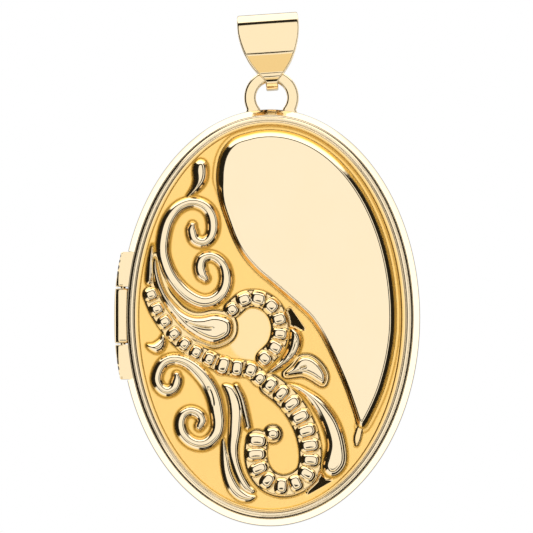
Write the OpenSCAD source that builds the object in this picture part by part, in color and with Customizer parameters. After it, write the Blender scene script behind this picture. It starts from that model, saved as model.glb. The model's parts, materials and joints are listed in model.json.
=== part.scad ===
// Oval picture locket: an embossed front and a plain back joined by a three-knuckle
// hinge, hung from a soldered loop and a folded bail.
// Units are millimetres. +Z is up as it hangs, the embossed front faces -Y, and the
// origin is the middle of the chain's seat inside the bail.

/* [Case] */
// Half of the case's width, at the parting line
case_half_w = 11.5; // [10:0.1:14]
// Half of the case's height, at the parting line
case_half_h = 16; // [13:0.1:20]
// Height of each half's rim, from the parting line to its outer edge
rim_h = 2.1; // [1.8:0.05:2.8]
// Thickness of the rim band
rim_wall = 0.8; // [0.65:0.05:1]
// Thickness of the sheet that the covers are struck from
sheet = 0.45; // [0.3:0.05:0.6]
// How far each cover's flat field stands from the parting line
field_h = 2.3; // [2:0.05:3]
// Gap left between the two rims when the locket is shut
parting_gap = 0.04; // [0.02:0.01:0.1]

// How far the back's flat panel stands above its border
back_rise = 0.2; // [0.15:0.05:0.4]

/* [Ornament] */
// Height of the raised panel above the field
panel_rise = 0.6; // [0.3:0.05:0.9]
// Height of the scrolls and leaves above the field
scroll_rise = 0.5; // [0.3:0.05:0.9]
// Width of a scroll's ridge
scroll_w = 0.9; // [0.6:0.05:1.2]
// Width of the beaded bands
bead_band_w = 1.5; // [1:0.05:1.9]

/* [Snap lip] */
// Thickness of the lip that the front closes over
lip_wall = 0.3; // [0.2:0.05:0.4]
// How far the lip stands out of the back
lip_out = 0.6; // [0.4:0.05:0.7]
// Gap all round between the lip and the front rim
lip_gap = 0.05; // [0.03:0.01:0.1]

/* [Pictures] */
// Thickness of each picture card
card_t = 0.18; // [0.1:0.01:0.25]
// Thickness of each clear window
window_t = 0.27; // [0.2:0.01:0.35]
// Width of the picture frame's visible face
frame_w = 0.8; // [0.5:0.05:1.5]

/* [Hinge] */
// Distance of the hinge pin inside the edge of the case
pin_inset = 0.2; // [0:0.05:0.3]
// Height of the hinge's middle above the middle of the case
hinge_z = 0.14; // [-1:0.01:1]
// Radius of the knuckles
knuckle_r = 0.7; // [0.55:0.05:0.85]
// Radius of the hinge pin
pin_r = 0.2; // [0.15:0.01:0.28]
// Radial clearance of the pin in the two outer knuckles
pin_gap = 0.03; // [0.02:0.01:0.06]
// Thickness of the closed ends beyond the pin
pin_cap = 0.75; // [0.3:0.05:1]
// Length of the middle knuckle
mid_len = 4.2; // [3:0.1:5]
// Length of each outer knuckle
end_len = 2.66; // [2:0.02:3.5]
// Gap between one knuckle and the next
knuckle_gap = 0.12; // [0.06:0.01:0.2]

/* [Loop and bail] */
// Outer radius of the hanging loop
loop_r = 2.1; // [1.8:0.05:2.6]
// Width of the loop's flat face
loop_w = 0.9; // [0.7:0.05:1]
// Thickness of the loop, front to back
loop_t = 0.8; // [0.6:0.05:0.9]
// Height of the loop's centre above the top of the case
loop_up = 0.95; // [0.8:0.05:1.5]
// How far the loop is soldered to the right of the case's middle
loop_off = 0.1; // [0:0.05:0.3]
// Gap between the bail's lower bend and the loop's wire
bail_gap = 0.07; // [0.03:0.01:0.2]
// Thickness of the bail's strip
bail_t = 0.36; // [0.25:0.01:0.45]
// Width of the bail at its top
bail_top_w = 4.6; // [3.5:0.1:6]
// Width of the bail where it passes through the loop
bail_low_w = 0.95; // [0.8:0.05:1.1]
// Depth of the bail, front to back
bail_depth = 2.9; // [2.6:0.1:4]
// Height of the bail's top above the middle of the loop's wire
bail_rise = 4.8; // [4:0.1:7]
// Sideways lean of the bail on its loop, in degrees
bail_lean = 4; // [0:0.5:6]

/* [Hidden] */

gold = "#e6c27a";
pale_gold = "#eed9a6";
front = 1;
back = -1;
steps = 96;

// --- Sections, given as [outset from the parting line's oval, height from it] ---
rebate = 0.2;
seam = rebate - rim_wall;
skirt_t = 0.33;
skirt_in = seam - skirt_t;
border_w = 1.02;
field_edge = seam - border_w;
overlap = 0.3;
pane_gap = 0.02;
frame_gap = 0.25;
frame_out = -rim_wall - lip_wall - frame_gap;
frame_in = frame_out - frame_w;
frame_low = 0.25;
frame_bevel = [0.15, 0.12];
flange_h = 0.2;
under_field = field_h - sheet;
ledge_h = under_field - card_t - window_t;
lip_end = ledge_h - flange_h - 0.05;
lip_bevel = 0.08;
through = 4;
clear = 1;

// --- Places ---
loop_set_back = 0.1;
loop_y = parting_gap / 2 + loop_set_back + loop_t / 2;
loop_z = case_half_h + loop_up;
wire_ring_r = loop_r - loop_w / 2;
wire_z = loop_z + wire_ring_r;
wire_reach = norm([loop_w, loop_t]) / 2;
wire_dip = wire_ring_r - sqrt(pow(wire_ring_r, 2) - pow(bail_low_w / 2, 2));
bail_low_r = wire_reach + wire_dip + bail_gap + bail_t;
seat_below_top = bail_depth / 2;
wire_drop = bail_rise - seat_below_top;
wire_x = wire_drop * sin(bail_lean);
case_drop = wire_z + wire_drop * cos(bail_lean);
pin_x = -case_half_w + pin_inset;
hinge_half = mid_len / 2 + knuckle_gap + end_len;
pin_half = hinge_half - pin_cap;
notch_gap = 0.1;
notch_in = 0.3 - rim_wall;
file_out = 0.5;
plate_low = 0.15;
plate_top = knuckle_r + 0.4;
plate_reach = 1;
bore_relief = 0.01;

// --- Helpers ---
module in_case() { translate([wire_x - loop_off, -loop_y, -case_drop]) children(); }

function oval(out, from = 0, to = 360, n = steps) =
    [for (i = [0 : n - (to - from == 360 ? 1 : 0)])
        let (t = from + (to - from) * i / n)
        [(case_half_w + out) * cos(t), (case_half_h + out) * sin(t)]];

// A flat oval plate between two heights, on the front or the back half.
module plate(out, low, high, side) {
    rotate([90, 0, 0])
        translate([0, 0, side > 0 ? low : -high])
            linear_extrude(high - low) polygon(oval(out));
}

// A closed ring whose section is a list of [outset, height] points.
module oval_ring(section, side) {
    m = len(section);
    rows = [for (p = section) [for (q = oval(p[0])) [q[0], -side * p[1], q[1]]]];
    points = [for (i = [0 : steps - 1]) for (j = [0 : m - 1]) rows[j][i]];
    at = function (i, j) (i % steps) * m + (j % m);
    faces = [for (i = [0 : steps - 1]) for (j = [0 : m - 1])
        for (f = side > 0
            ? [[at(i, j), at(i, j + 1), at(i + 1, j + 1)], [at(i, j), at(i + 1, j + 1), at(i + 1, j)]]
            : [[at(i, j), at(i + 1, j + 1), at(i, j + 1)], [at(i, j), at(i + 1, j), at(i + 1, j + 1)]]) f];
    polyhedron(points, faces);
}

// Points of a smooth curve through the given points.
function blend(a, b, c, d, t) =
    0.5 * (2 * b + (c - a) * t + (2 * a - 5 * b + 4 * c - d) * t * t
           + (3 * b - a - 3 * c + d) * t * t * t);
function smooth(p, n = 4) =
    [for (i = [0 : len(p) - 2]) for (k = [0 : n - 1])
        blend(p[max(i - 1, 0)], p[i], p[i + 1], p[min(i + 2, len(p) - 1)], k / n),
     p[len(p) - 1]];
function across(p, i) =
    let (d = p[min(i + 1, len(p) - 1)] - p[max(i - 1, 0)]) [-d[1], d[0]] / norm(d);
function half_width(w, tip, i, n) = min(w, tip + (w - tip) * min(i, n - i) / (0.2 * n)) / 2;
function ribbon(p, w, tip) =
    let (n = len(p) - 1)
    concat([for (i = [0 : n]) p[i] + across(p, i) * half_width(w, tip, i, n)],
           [for (i = [n : -1 : 0]) p[i] - across(p, i) * half_width(w, tip, i, n)]);

// Flat shapes raised on the front's field.
module raised(rise) {
    rotate([90, 0, 0])
        translate([0, 0, field_h - sheet / 2])
            linear_extrude(rise + sheet / 2) children();
}

// --- Ornament, as [across, up] points on a field 19.76 wide and 28.76 high ---
drawn_field = [9.88, 14.38];
panel_edge = field_edge - 0.43;
panel_arc_from = 102;
panel_arc_to = -30;
panel_arc_steps = 44;
scroll_tip = 0.35;
fit_across = (case_half_w + field_edge) / drawn_field[0];
fit_up = (case_half_h + field_edge) / drawn_field[1];
function fitted(p) = [for (q = p) [q[0] * fit_across, q[1] * fit_up]];
panel_side = [[-2.3, 13.6], [-3.5, 12.6], [-4, 11], [-3.9, 9.4], [-3.4, 7.7], [-2.7, 5.9],
              [-1.5, 4], [0, 2.7], [1.6, 1.4], [3, 0], [4.2, -1.8], [5, -3.4], [5.7, -5.2],
              [6.3, -6.8], [6.9, -8.4]];
upper_scroll = [[-5.6, 6.2], [-5.4, 7.1], [-5.9, 7.5], [-6.5, 7], [-6.3, 5.9], [-5.4, 5.5],
                [-4.6, 6.1], [-4.4, 7.2], [-5.1, 8.4], [-6.2, 8.7], [-7.3, 8.2], [-8.1, 6.9],
                [-8.3, 5.3], [-8, 3.4], [-7.2, 2], [-6, 1.1], [-5, 0.9], [-4, 1.3],
                [-3.4, 2.4], [-3.5, 3.7], [-4.3, 4.6], [-5.3, 4.3], [-5.7, 3.4], [-5.2, 2.8]];
lower_scroll = [[-7.1, -4.8], [-7.4, -5.6], [-8.2, -5.6], [-8.7, -4.9], [-8.4, -3.9],
                [-7.4, -3.3], [-6.1, -3.8], [-4.9, -4.8], [-4.1, -6.1], [-3.9, -7.5],
                [-3.9, -8.6], [-4.5, -9.5], [-5.5, -9.9], [-6.4, -9.4], [-6.8, -8.4],
                [-6.5, -7.5], [-5.8, -7.2], [-5.2, -7.8], [-5.4, -8.4]];
bead_row = [[-9.2, 1.7], [-8.8, 0.6], [-8.2, -0.4], [-7.4, -1.3], [-6.5, -2.1], [-5.6, -2.7],
            [-4.7, -3.2], [-3.7, -3.8], [-2.5, -4], [-1.2, -3.9]];
bead_loop = [[-3, 0.7], [-2, 1.3], [-0.9, 1.3], [0.1, 0.7], [0.7, -0.2], [0.7, -1.4],
             [0.3, -2.4], [-0.5, -3.2]];
chain = [[-1.1, -4.7], [0, -5.3], [0.9, -5.9], [1.7, -6.7], [2.3, -7.6], [2.8, -8.7],
         [3.1, -9.8], [3.1, -11], [2.8, -12], [1.9, -12.7], [0.8, -12.8], [-0.2, -12.5],
         [-0.8, -11.7], [-1.1, -10.6], [-0.9, -9.4]];
paisley = [[-8.9, 4.5], [-8.5, 2.5], [-7.6, 0.7], [-6.6, -0.1], [-5.2, -0.2], [-3.8, 0],
           [-3, -0.4], [-3, -1.2], [-3.7, -1.8], [-4.8, -1.9], [-6, -1.3], [-7.2, -0.1],
           [-8.2, 1.4], [-8.8, 3]];
plume = [[-3.6, -5.2], [-3.3, -8.4], [-3.4, -11], [-2.9, -12.8], [-1.8, -13.6], [-1.2, -13.3],
         [-1.9, -12.2], [-2.2, -10.6], [-2.3, -8.4], [-2.8, -5.4]];
plume_side = [[-2.4, -5.4], [-2, -7.4], [-1.7, -8.6], [-1.4, -8.2], [-1.6, -7], [-2.1, -5.4]];
crescent = [[1.5, -0.9], [2.2, -1.3], [2.3, -2.4], [1.3, -3.7], [0, -4.2], [1.1, -3],
            [1.5, -2]];
upper_leaf = [[1, -4.4], [2.5, -3.1], [3.4, -3.4], [4.1, -4.1], [4.2, -5], [3.3, -4.6], [2.3, -4.3]];
lower_leaf = [[1.3, -5.2], [3, -5.8], [4.4, -6.7], [5.4, -8], [5.9, -9.6], [5.8, -11],
              [5, -11.9], [4.1, -11.5], [4.3, -10.4], [4.3, -8.9], [3.6, -7.4], [2.6, -6]];
tear = [[-5.3, 11.7], [-4.9, 11.3], [-4.9, 10.6], [-5.5, 9.9], [-6.2, 9.3], [-5.9, 10],
        [-5.7, 11]];
comma = [[-9.3, -2.1], [-8.5, -1.6], [-8.1, -1.6], [-8.2, -2.3], [-8.7, -2.7], [-9.2, -2.4]];

module ornament() {
    panel_arc = oval(panel_edge, panel_arc_from, panel_arc_to, panel_arc_steps);
    raised(panel_rise)
        polygon(concat(smooth(fitted(panel_side)), [for (i = [panel_arc_steps - 1 : -1 : 0]) panel_arc[i]]));
    raised(scroll_rise) {
        for (path = [upper_scroll, lower_scroll])
            polygon(ribbon(smooth(fitted(path)), scroll_w, scroll_tip));
        for (path = [bead_row, bead_loop, chain])
            polygon(ribbon(smooth(fitted(path), 2), bead_band_w, bead_band_w));
        for (leaf = [paisley, plume, plume_side, crescent, upper_leaf, lower_leaf, tear, comma])
            polygon(fitted(leaf));
    }
}

// --- Case parts, made alike for both halves ---
module rim_band(side, inner) {
    half_gap = parting_gap / 2;
    section = [[inner, half_gap], [-0.04, half_gap], [0, half_gap + 0.08],
               [-0.02, rim_h * 0.35], [-0.1, rim_h * 0.6], [-0.24, rim_h * 0.82],
               [-0.42, rim_h * 0.96], [seam, rim_h], [seam, ledge_h], [inner, ledge_h]];
    difference() {
        oval_ring(section, side);
        hinge_notch();
    }
}

// Room for the hinge: a slot in the rim's face and a bore round the knuckles.
module hinge_notch() {
    cut_half = hinge_half + notch_gap;
    translate([pin_x, 0, hinge_z - cut_half])
        cylinder(r = knuckle_r + notch_gap, h = 2 * cut_half, $fn = 48);
    intersection() {
        translate([-case_half_w - clear, -field_h, hinge_z - cut_half])
            cube([case_half_w / 2, 2 * field_h, 2 * cut_half]);
        rotate([90, 0, 0])
            linear_extrude(2 * field_h, center = true)
                difference() {
                    polygon(oval(clear));
                    polygon(oval(notch_in));
                }
    }
}

// The outer bead of the struck border, which both covers have.
outer_bead = [[seam, field_h - 0.12], [seam - 0.08, field_h + 0.06],
              [seam - 0.21, field_h + 0.1], [seam - 0.33, field_h + 0.04],
              [seam - 0.4, field_h - 0.08]];
// The front's inner bead and slope to its field, and the back's slope up to its panel.
front_slope = [[seam - 0.48, field_h + 0.04], [seam - 0.65, field_h + 0.14],
               [seam - 0.82, field_h + 0.08]];
back_slope = [[seam - 0.55, field_h + back_rise * 0.3], [seam - 0.75, field_h + back_rise * 0.75]];

// A struck cover: a skirt inside the rim, the border, and a flat field.
module cover(side, slope, rise) {
    field_in = field_edge - overlap;
    oval_ring(concat([[seam, ledge_h]], outer_bead, slope,
                     [[field_edge, field_h + rise], [field_in, field_h + rise],
                      [field_in, under_field + rise], [field_edge, under_field],
                      [skirt_in, under_field], [skirt_in, ledge_h]]), side);
    plate(field_in + overlap / 2, under_field + rise, field_h + rise, side);
}

module picture_frame(side) {
    top = ledge_h;
    section = [[frame_out, frame_low], [frame_out, top - flange_h], [-rim_wall, top - flange_h],
               [-rim_wall, top], [frame_in, top], [frame_in, frame_low + frame_bevel[1]],
               [frame_in + frame_bevel[0], frame_low]];
    oval_ring([for (i = [len(section) - 1 : -1 : 0]) section[i]], side);
}

module window_pane(side) { plate(skirt_in - pane_gap, ledge_h, ledge_h + window_t, side); }

module picture_card(side) {
    plate(skirt_in - pane_gap, ledge_h + window_t, ledge_h + window_t + card_t, side);
}

// One knuckle of the hinge, filed to the line of the case.
module knuckle(low, len, bore) {
    difference() {
        intersection() {
            translate([pin_x, 0, low]) cylinder(r = knuckle_r, h = len, $fn = 48);
            rotate([90, 0, 0]) linear_extrude(through, center = true) polygon(oval(file_out));
        }
        translate([pin_x, 0, hinge_z - pin_half - bore_relief])
            cylinder(r = bore, h = 2 * (pin_half + bore_relief), $fn = 48);
    }
}

// The plate that joins a knuckle to its own rim.
module hinge_plate(low, len, side) {
    difference() {
        translate([pin_x, side > 0 ? -plate_top : plate_low, low])
            cube([plate_reach, plate_top - plate_low, len]);
        translate([pin_x, 0, low - clear])
            cylinder(r = knuckle_r, h = len + 2 * clear, $fn = 48);
        rotate([90, 0, 0]) linear_extrude(through, center = true) polygon(oval(notch_in));
    }
}

// --- Bail ---
// Half-widths of the bail, as [height above the middle of the loop's wire, half-width].
low_half = bail_low_w / 2;
top_half = bail_top_w / 2;
bail_corner_r = 1;
bail_bend_drop = 3.1;
bail_half_widths = [[bail_rise, top_half - 0.02], [bail_rise - 0.7, top_half + 0.06],
                    [bail_rise - 1.6, top_half], [bail_rise - 2.6, top_half - 0.26],
                    [bail_rise - 3.4, top_half - 0.62], [0.45 * bail_low_r, low_half + 0.62],
                    [0.05, low_half + 0.32], [-0.3, low_half + 0.08], [-0.6, low_half],
                    [-bail_low_r - 0.2, low_half]];

module bail_side(inset) {
    corner_r = bail_corner_r - inset;
    low_r = bail_low_r - inset;
    half = bail_depth / 2 - inset;
    top = bail_rise - inset;
    bend = bail_rise - bail_bend_drop;
    tilt = atan2(half - low_r, bend);
    polygon([[-half, bend], [-low_r * cos(tilt), low_r * sin(tilt)],
             [low_r * cos(tilt), low_r * sin(tilt)], [half, bend], [half, top - corner_r],
             [half - corner_r, top - corner_r], [half - corner_r, top],
             [corner_r - half, top], [corner_r - half, top - corner_r], [-half, top - corner_r]]);
    circle(r = low_r, $fn = 64);
    for (s = [-1, 1])
        translate([s * (half - corner_r), top - corner_r]) circle(r = corner_r, $fn = 64);
}

module bail() {
    right = smooth([for (p = bail_half_widths) [p[1], p[0]]], 3);
    outline = concat(right, [for (i = [len(right) - 1 : -1 : 0]) [-right[i][0], right[i][1]]]);
    color(pale_gold)
        rotate([0, -bail_lean, 0])
            translate([0, 0, -wire_drop])
                intersection() {
                    rotate([90, 0, 90])
                        linear_extrude(bail_top_w + 2 * clear, center = true)
                            difference() {
                                bail_side(0);
                                bail_side(bail_t);
                            }
                    rotate([90, 0, 0]) linear_extrude(bail_depth + 2 * clear, center = true)
                        polygon(outline);
                }
}

// The loop's two feet spread on the edge of the case, where they are soldered.
foot_spread = 0.28;
foot_h = 0.5;
foot_low = case_half_h - 0.6;

module hanging_loop() {
    foot_w = loop_w + foot_spread;
    color(pale_gold)
        in_case()
            translate([0, loop_y, 0])
                difference() {
                    union() {
                        translate([loop_off, 0, loop_z])
                            rotate([90, 0, 0]) cylinder(r = loop_r, h = loop_t, center = true, $fn = 96);
                        for (s = [-1, 1])
                            translate([loop_off + s * wire_ring_r - foot_w / 2, -loop_t / 2, foot_low])
                                cube([foot_w, loop_t, foot_h]);
                    }
                    translate([loop_off, 0, loop_z])
                        rotate([90, 0, 0])
                            cylinder(r = loop_r - loop_w, h = loop_t + clear, center = true, $fn = 96);
                    rotate([90, 0, 0]) linear_extrude(through, center = true) polygon(oval(0));
                }
}

// --- Back half ---
module back_rim() { color(gold) in_case() rim_band(back, -rim_wall); }

module back_cover() { color(gold) in_case() cover(back, back_slope, back_rise); }

module snap_lip() {
    low = -lip_out;
    inner = -rim_wall - lip_wall;
    section = [[inner, low + lip_bevel], [inner + lip_bevel, low], [-rim_wall - lip_bevel, low],
               [-rim_wall, low + lip_bevel], [-rim_wall, lip_end], [inner, lip_end]];
    color(pale_gold)
        in_case()
            difference() {
                oval_ring(section, back);
                translate([-case_half_w - clear, -through / 2, hinge_z - hinge_half - clear])
                    cube([through, through, 2 * (hinge_half + clear)]);
            }
}

module back_frame() { color(gold) in_case() picture_frame(back); }

module back_window() { color("lightblue", 0.4) in_case() window_pane(back); }

module back_card() { color("ivory") in_case() picture_card(back); }

module hinge_knuckle_middle() {
    color(gold) in_case() knuckle(hinge_z - mid_len / 2, mid_len, pin_r);
}

module hinge_plate_middle() {
    color(gold) in_case() hinge_plate(hinge_z - mid_len / 2, mid_len, back);
}

module hinge_pin() {
    color(pale_gold)
        in_case()
            translate([pin_x, 0, hinge_z - pin_half]) cylinder(r = pin_r, h = 2 * pin_half, $fn = 32);
}

// --- Front half ---
module front_rim() { color(gold) in_case() rim_band(front, -rim_wall + lip_gap); }

module front_cover() {
    color(gold)
        in_case() {
            cover(front, front_slope, 0);
            ornament();
        }
}

module front_frame() { color(gold) in_case() picture_frame(front); }

module front_window() { color("lightblue", 0.4) in_case() window_pane(front); }

module front_card() { color("ivory") in_case() picture_card(front); }

module hinge_knuckle_top() {
    color(gold) in_case() knuckle(hinge_z + mid_len / 2 + knuckle_gap, end_len, pin_r + pin_gap);
}

module hinge_knuckle_bottom() {
    color(gold) in_case() knuckle(hinge_z - hinge_half, end_len, pin_r + pin_gap);
}

module hinge_plate_top() {
    color(gold) in_case() hinge_plate(hinge_z + mid_len / 2 + knuckle_gap, end_len, front);
}

module hinge_plate_bottom() {
    color(gold) in_case() hinge_plate(hinge_z - hinge_half, end_len, front);
}

bail();
hanging_loop();
back_rim();
back_cover();
snap_lip();
back_frame();
back_window();
back_card();
hinge_knuckle_middle();
hinge_plate_middle();
hinge_pin();
front_rim();
front_cover();
front_frame();
front_window();
front_card();
hinge_knuckle_top();
hinge_knuckle_bottom();
hinge_plate_top();
hinge_plate_bottom();
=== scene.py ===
"""Looks of an oval picture locket: struck gold case, hinge, hanging loop and bail.

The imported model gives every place. Shapes are worked out in millimetres on the case, with
x to the right, z up and h the height from the parting plane, and turned into metres last.
"""
from __future__ import annotations

import json
import logging
import math
from dataclasses import dataclass
from enum import Enum
from typing import ClassVar

import bmesh
import bpy
import numpy as np
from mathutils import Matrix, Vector

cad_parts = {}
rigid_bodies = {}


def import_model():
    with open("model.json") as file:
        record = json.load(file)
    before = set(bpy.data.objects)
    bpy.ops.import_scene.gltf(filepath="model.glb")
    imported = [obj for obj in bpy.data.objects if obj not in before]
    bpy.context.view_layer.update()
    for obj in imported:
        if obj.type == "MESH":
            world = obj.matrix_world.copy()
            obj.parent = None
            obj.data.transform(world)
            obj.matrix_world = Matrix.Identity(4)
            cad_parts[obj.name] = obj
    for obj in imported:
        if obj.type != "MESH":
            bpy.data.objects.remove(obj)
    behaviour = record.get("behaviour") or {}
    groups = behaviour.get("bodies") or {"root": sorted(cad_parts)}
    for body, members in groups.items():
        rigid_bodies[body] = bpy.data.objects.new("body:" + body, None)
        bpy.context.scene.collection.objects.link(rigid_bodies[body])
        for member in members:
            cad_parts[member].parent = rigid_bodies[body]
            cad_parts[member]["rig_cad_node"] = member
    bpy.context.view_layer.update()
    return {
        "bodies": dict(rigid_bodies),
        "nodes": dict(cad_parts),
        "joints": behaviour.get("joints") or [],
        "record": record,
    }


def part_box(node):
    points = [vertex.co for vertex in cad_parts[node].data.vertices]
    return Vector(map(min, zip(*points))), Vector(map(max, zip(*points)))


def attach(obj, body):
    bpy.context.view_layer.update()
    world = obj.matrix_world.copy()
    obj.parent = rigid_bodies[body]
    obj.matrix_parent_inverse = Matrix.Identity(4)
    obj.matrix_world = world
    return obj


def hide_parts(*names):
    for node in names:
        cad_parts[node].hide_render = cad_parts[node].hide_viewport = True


MM = 0.001
BUMP_DEPTH = 0.03 * MM
MIX_SHARE, MIX_A, MIX_B, MIX_RESULT = 0, 6, 7, 2
log = logging.getLogger("locket")

Array = np.ndarray
Point = tuple[float, float]
Colour = tuple[float, float, float]


class Side(Enum):
    """The half of the case that a piece belongs to, and the way it faces along y."""

    FRONT = -1
    BACK = 1


class Tone(Enum):
    """The gold's tone on a stretch of surface: its polish, and light and shade painted into its
    colour.

    It runs from burnished, with the pale colour of a painted highlight, through half-way and the
    gold's own deeper colour on satin ground, to the deep orange of painted shade lying in a recess.
    """

    POLISHED_HIGHLIGHT = 0.0
    MELLOW = 0.25
    SATIN = 0.5
    RECESS_SHADE = 1.0


# --- Places -----------------------------------------------------------------------------


@dataclass(frozen=True)
class Case:
    """The closed case's centre and size, in millimetres, and what its two halves share.

    SEAM is the inset at which a cover meets its rim, and SQUEEZE how much of any further
    inset is taken at the top and bottom. Heights are from the parting plane: FIELD_H to a
    cover's field and LEDGE_H to the ledge that the covers and windows rest on. SHEET is a
    cover's thickness and PIN_N the hinge pin's outset from the girth.
    """

    x: float
    y: float
    z: float
    half_w: float
    half_h: float

    SEAM: ClassVar[float] = 0.6
    SQUEEZE: ClassVar[float] = 0.85
    FIELD_H: ClassVar[float] = 2.3
    SHEET: ClassVar[float] = 0.45
    LEDGE_H: ClassVar[float] = 1.4
    PIN_N: ClassVar[float] = -0.2

    @classmethod
    def from_frame(cls) -> "Case":
        """Reads the case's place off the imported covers.

        Returns:
            The case, centred on its parting plane.
        """
        low, high = (np.array(c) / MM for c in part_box("front_window"))
        rim_front = np.array(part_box("front_rim")[0]) / MM
        rim_back = np.array(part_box("back_rim")[1]) / MM
        cover_low, cover_high = (np.array(c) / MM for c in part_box("back_cover"))
        return cls(
            x=(low[0] + high[0]) / 2,
            y=(rim_front[1] + rim_back[1]) / 2,
            z=(low[2] + high[2]) / 2,
            half_w=(cover_high[0] - cover_low[0]) / 2 + cls.SEAM,
            half_h=(cover_high[2] - cover_low[2]) / 2 + cls.SEAM,
        )

    def place(self, x: Array, z: Array, h: Array, side: Side = Side.FRONT) -> Array:
        """Turns case coordinates into points in the frame.

        Args:
            x: Distance right of the case's middle.
            z: Distance above the case's middle.
            h: Height from the parting plane, outwards on that side.
            side: The half that h is measured on.

        Returns:
            An array of points, in metres.
        """
        x, z, h = np.broadcast_arrays(x, z, h)
        points = np.stack([self.x + x, self.y + side.value * h, self.z + z], axis=-1)
        return points.reshape(-1, 3) * MM

    def girth(self, n: Array | float, angle: Array) -> tuple[Array, Array]:
        """Points on the case's oval, set out or in.

        Args:
            n: Outset from the girth.
            angle: Place round the oval, in radians.

        Returns:
            The points' x and z.
        """
        return (self.half_w + n) * np.cos(angle), self.rise(n) * np.sin(angle)

    def rise(self, n: Array | float) -> Array:
        """Half-height of the oval at an outset; inside the seam the border is narrower."""
        return self.half_h + np.maximum(n, -self.SEAM) + self.SQUEEZE * np.minimum(n + self.SEAM, 0)


# --- Mesh work --------------------------------------------------------------------------


def make_piece(name: str, points: Array, faces: list, sharp_deg: float = 35.0) -> bpy.types.Object:
    """Makes a smooth-shaded mesh object out of closed shells.

    Args:
        name: The piece's name.
        points: Its points, in metres.
        faces: Lists of point numbers.
        sharp_deg: Edges that turn more than this stay crisp.

    Returns:
        The new object, linked to the scene.
    """
    mesh = bpy.data.meshes.new(name)
    mesh.from_pydata(np.asarray(points, float).tolist(), [], faces)
    mesh.validate()
    work = bmesh.new()
    work.from_mesh(mesh)
    bmesh.ops.recalc_face_normals(work, faces=work.faces)
    work.to_mesh(mesh)
    work.free()
    mesh.shade_smooth()
    mesh.set_sharp_from_angle(angle=math.radians(sharp_deg))
    piece = bpy.data.objects.new(name, mesh)
    bpy.context.scene.collection.objects.link(piece)
    return piece


def dress(piece: bpy.types.Object, body: str, nodes: tuple[str, ...],
          material: bpy.types.Material) -> bpy.types.Object:
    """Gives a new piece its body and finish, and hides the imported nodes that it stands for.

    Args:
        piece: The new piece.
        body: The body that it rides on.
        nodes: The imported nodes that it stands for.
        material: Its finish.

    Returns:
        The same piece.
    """
    piece.data.materials.clear()
    piece.data.materials.append(material)
    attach(piece, body)
    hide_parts(*nodes)
    log.info("%s: %d points, %d faces", piece.name, len(piece.data.vertices),
             len(piece.data.polygons))
    return piece


def dress_packed(material: bpy.types.Material) -> None:
    """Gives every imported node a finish; it shows on those that no new piece stands for.

    Args:
        material: The finish.
    """
    for node in list(bpy.context.scene.objects):
        if "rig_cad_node" in node:
            node.data.materials.clear()
            node.data.materials.append(material)


def loft_faces(rows: int, across: int, ring: bool, closed: bool = True) -> list:
    """Faces between sections laid one after another.

    Args:
        rows: Number of sections.
        across: Points in each section.
        ring: True where the last section meets the first.
        closed: True where each section is a closed loop.

    Returns:
        The faces, with end caps on an open run of closed sections.
    """
    faces = []
    for i in range(rows if ring else rows - 1):
        a, b = i * across, ((i + 1) % rows) * across
        for j in range(across if closed else across - 1):
            k = (j + 1) % across
            faces.append([a + j, a + k, b + k, b + j])
    if closed and not ring:
        faces.append(list(range(across))[::-1])
        faces.append([(rows - 1) * across + j for j in range(across)])
    return faces


def edge_loop(faces: list) -> list:
    """Walks once round the open edge of a skin.

    Args:
        faces: The skin's faces.

    Returns:
        The point numbers along its edge.
    """
    pairs = set()
    for face in faces:
        pairs.update(zip(face, face[1:] + face[:1]))
    follow = {a: b for a, b in pairs if (b, a) not in pairs}
    start = next(iter(follow))
    loop = [start]
    while follow[loop[-1]] != start:
        loop.append(follow[loop[-1]])
    return loop


def rounded(corners: list, radius: float, steps: int = 3, closed: bool = True) -> Array:
    """Rounds a polygon's corners with arcs.

    Args:
        corners: Points, each with its own radius as a third value if it differs.
        radius: The radius of the others.
        steps: Spans in each arc.
        closed: True where the last point meets the first.

    Returns:
        The rounded outline.
    """
    out = []
    count = len(corners)
    for i, corner in enumerate(corners):
        p = np.array(corner[:2], float)
        r = corner[2] if len(corner) > 2 else radius
        if r <= 0 or (not closed and i in (0, count - 1)):
            out.append(p)
            continue
        before = np.array(corners[i - 1][:2], float) - p
        after = np.array(corners[(i + 1) % count][:2], float) - p
        la, lb = np.linalg.norm(before), np.linalg.norm(after)
        before, after = before / la, after / lb
        half = math.acos(np.clip(before @ after, -1, 1)) / 2
        cut = min(r / max(math.tan(half), 1e-6), 0.45 * la, 0.45 * lb)
        for t in np.linspace(0, 1, steps + 1):
            out.append(p + before * cut * (1 - t) ** 2 + after * cut * t**2)
    return np.array(out)


def smooth_path(points: tuple, spans: int = 6, closed: bool = False) -> Array:
    """Runs a smooth curve through points of any number of values.

    Args:
        points: The points that the curve passes through.
        spans: Steps between one point and the next.
        closed: True for a loop.

    Returns:
        The curve's points.
    """
    p = np.array(points, float)
    ends = (p[-1:], p[:2]) if closed else (2 * p[:1] - p[1:2], 2 * p[-1:] - p[-2:-1])
    q = np.concatenate([ends[0], p, ends[1]])
    t = np.linspace(0, 1, spans, endpoint=False)[:, None]
    out = []
    for a, b, c, d in zip(q, q[1:], q[2:], q[3:]):
        out.append(0.5 * (2 * b + (c - a) * t + (2 * a - 5 * b + 4 * c - d) * t**2
                          + (3 * b - a - 3 * c + d) * t**3))
    curve = np.concatenate(out)
    return curve if closed else np.concatenate([curve, p[-1:]])


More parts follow.
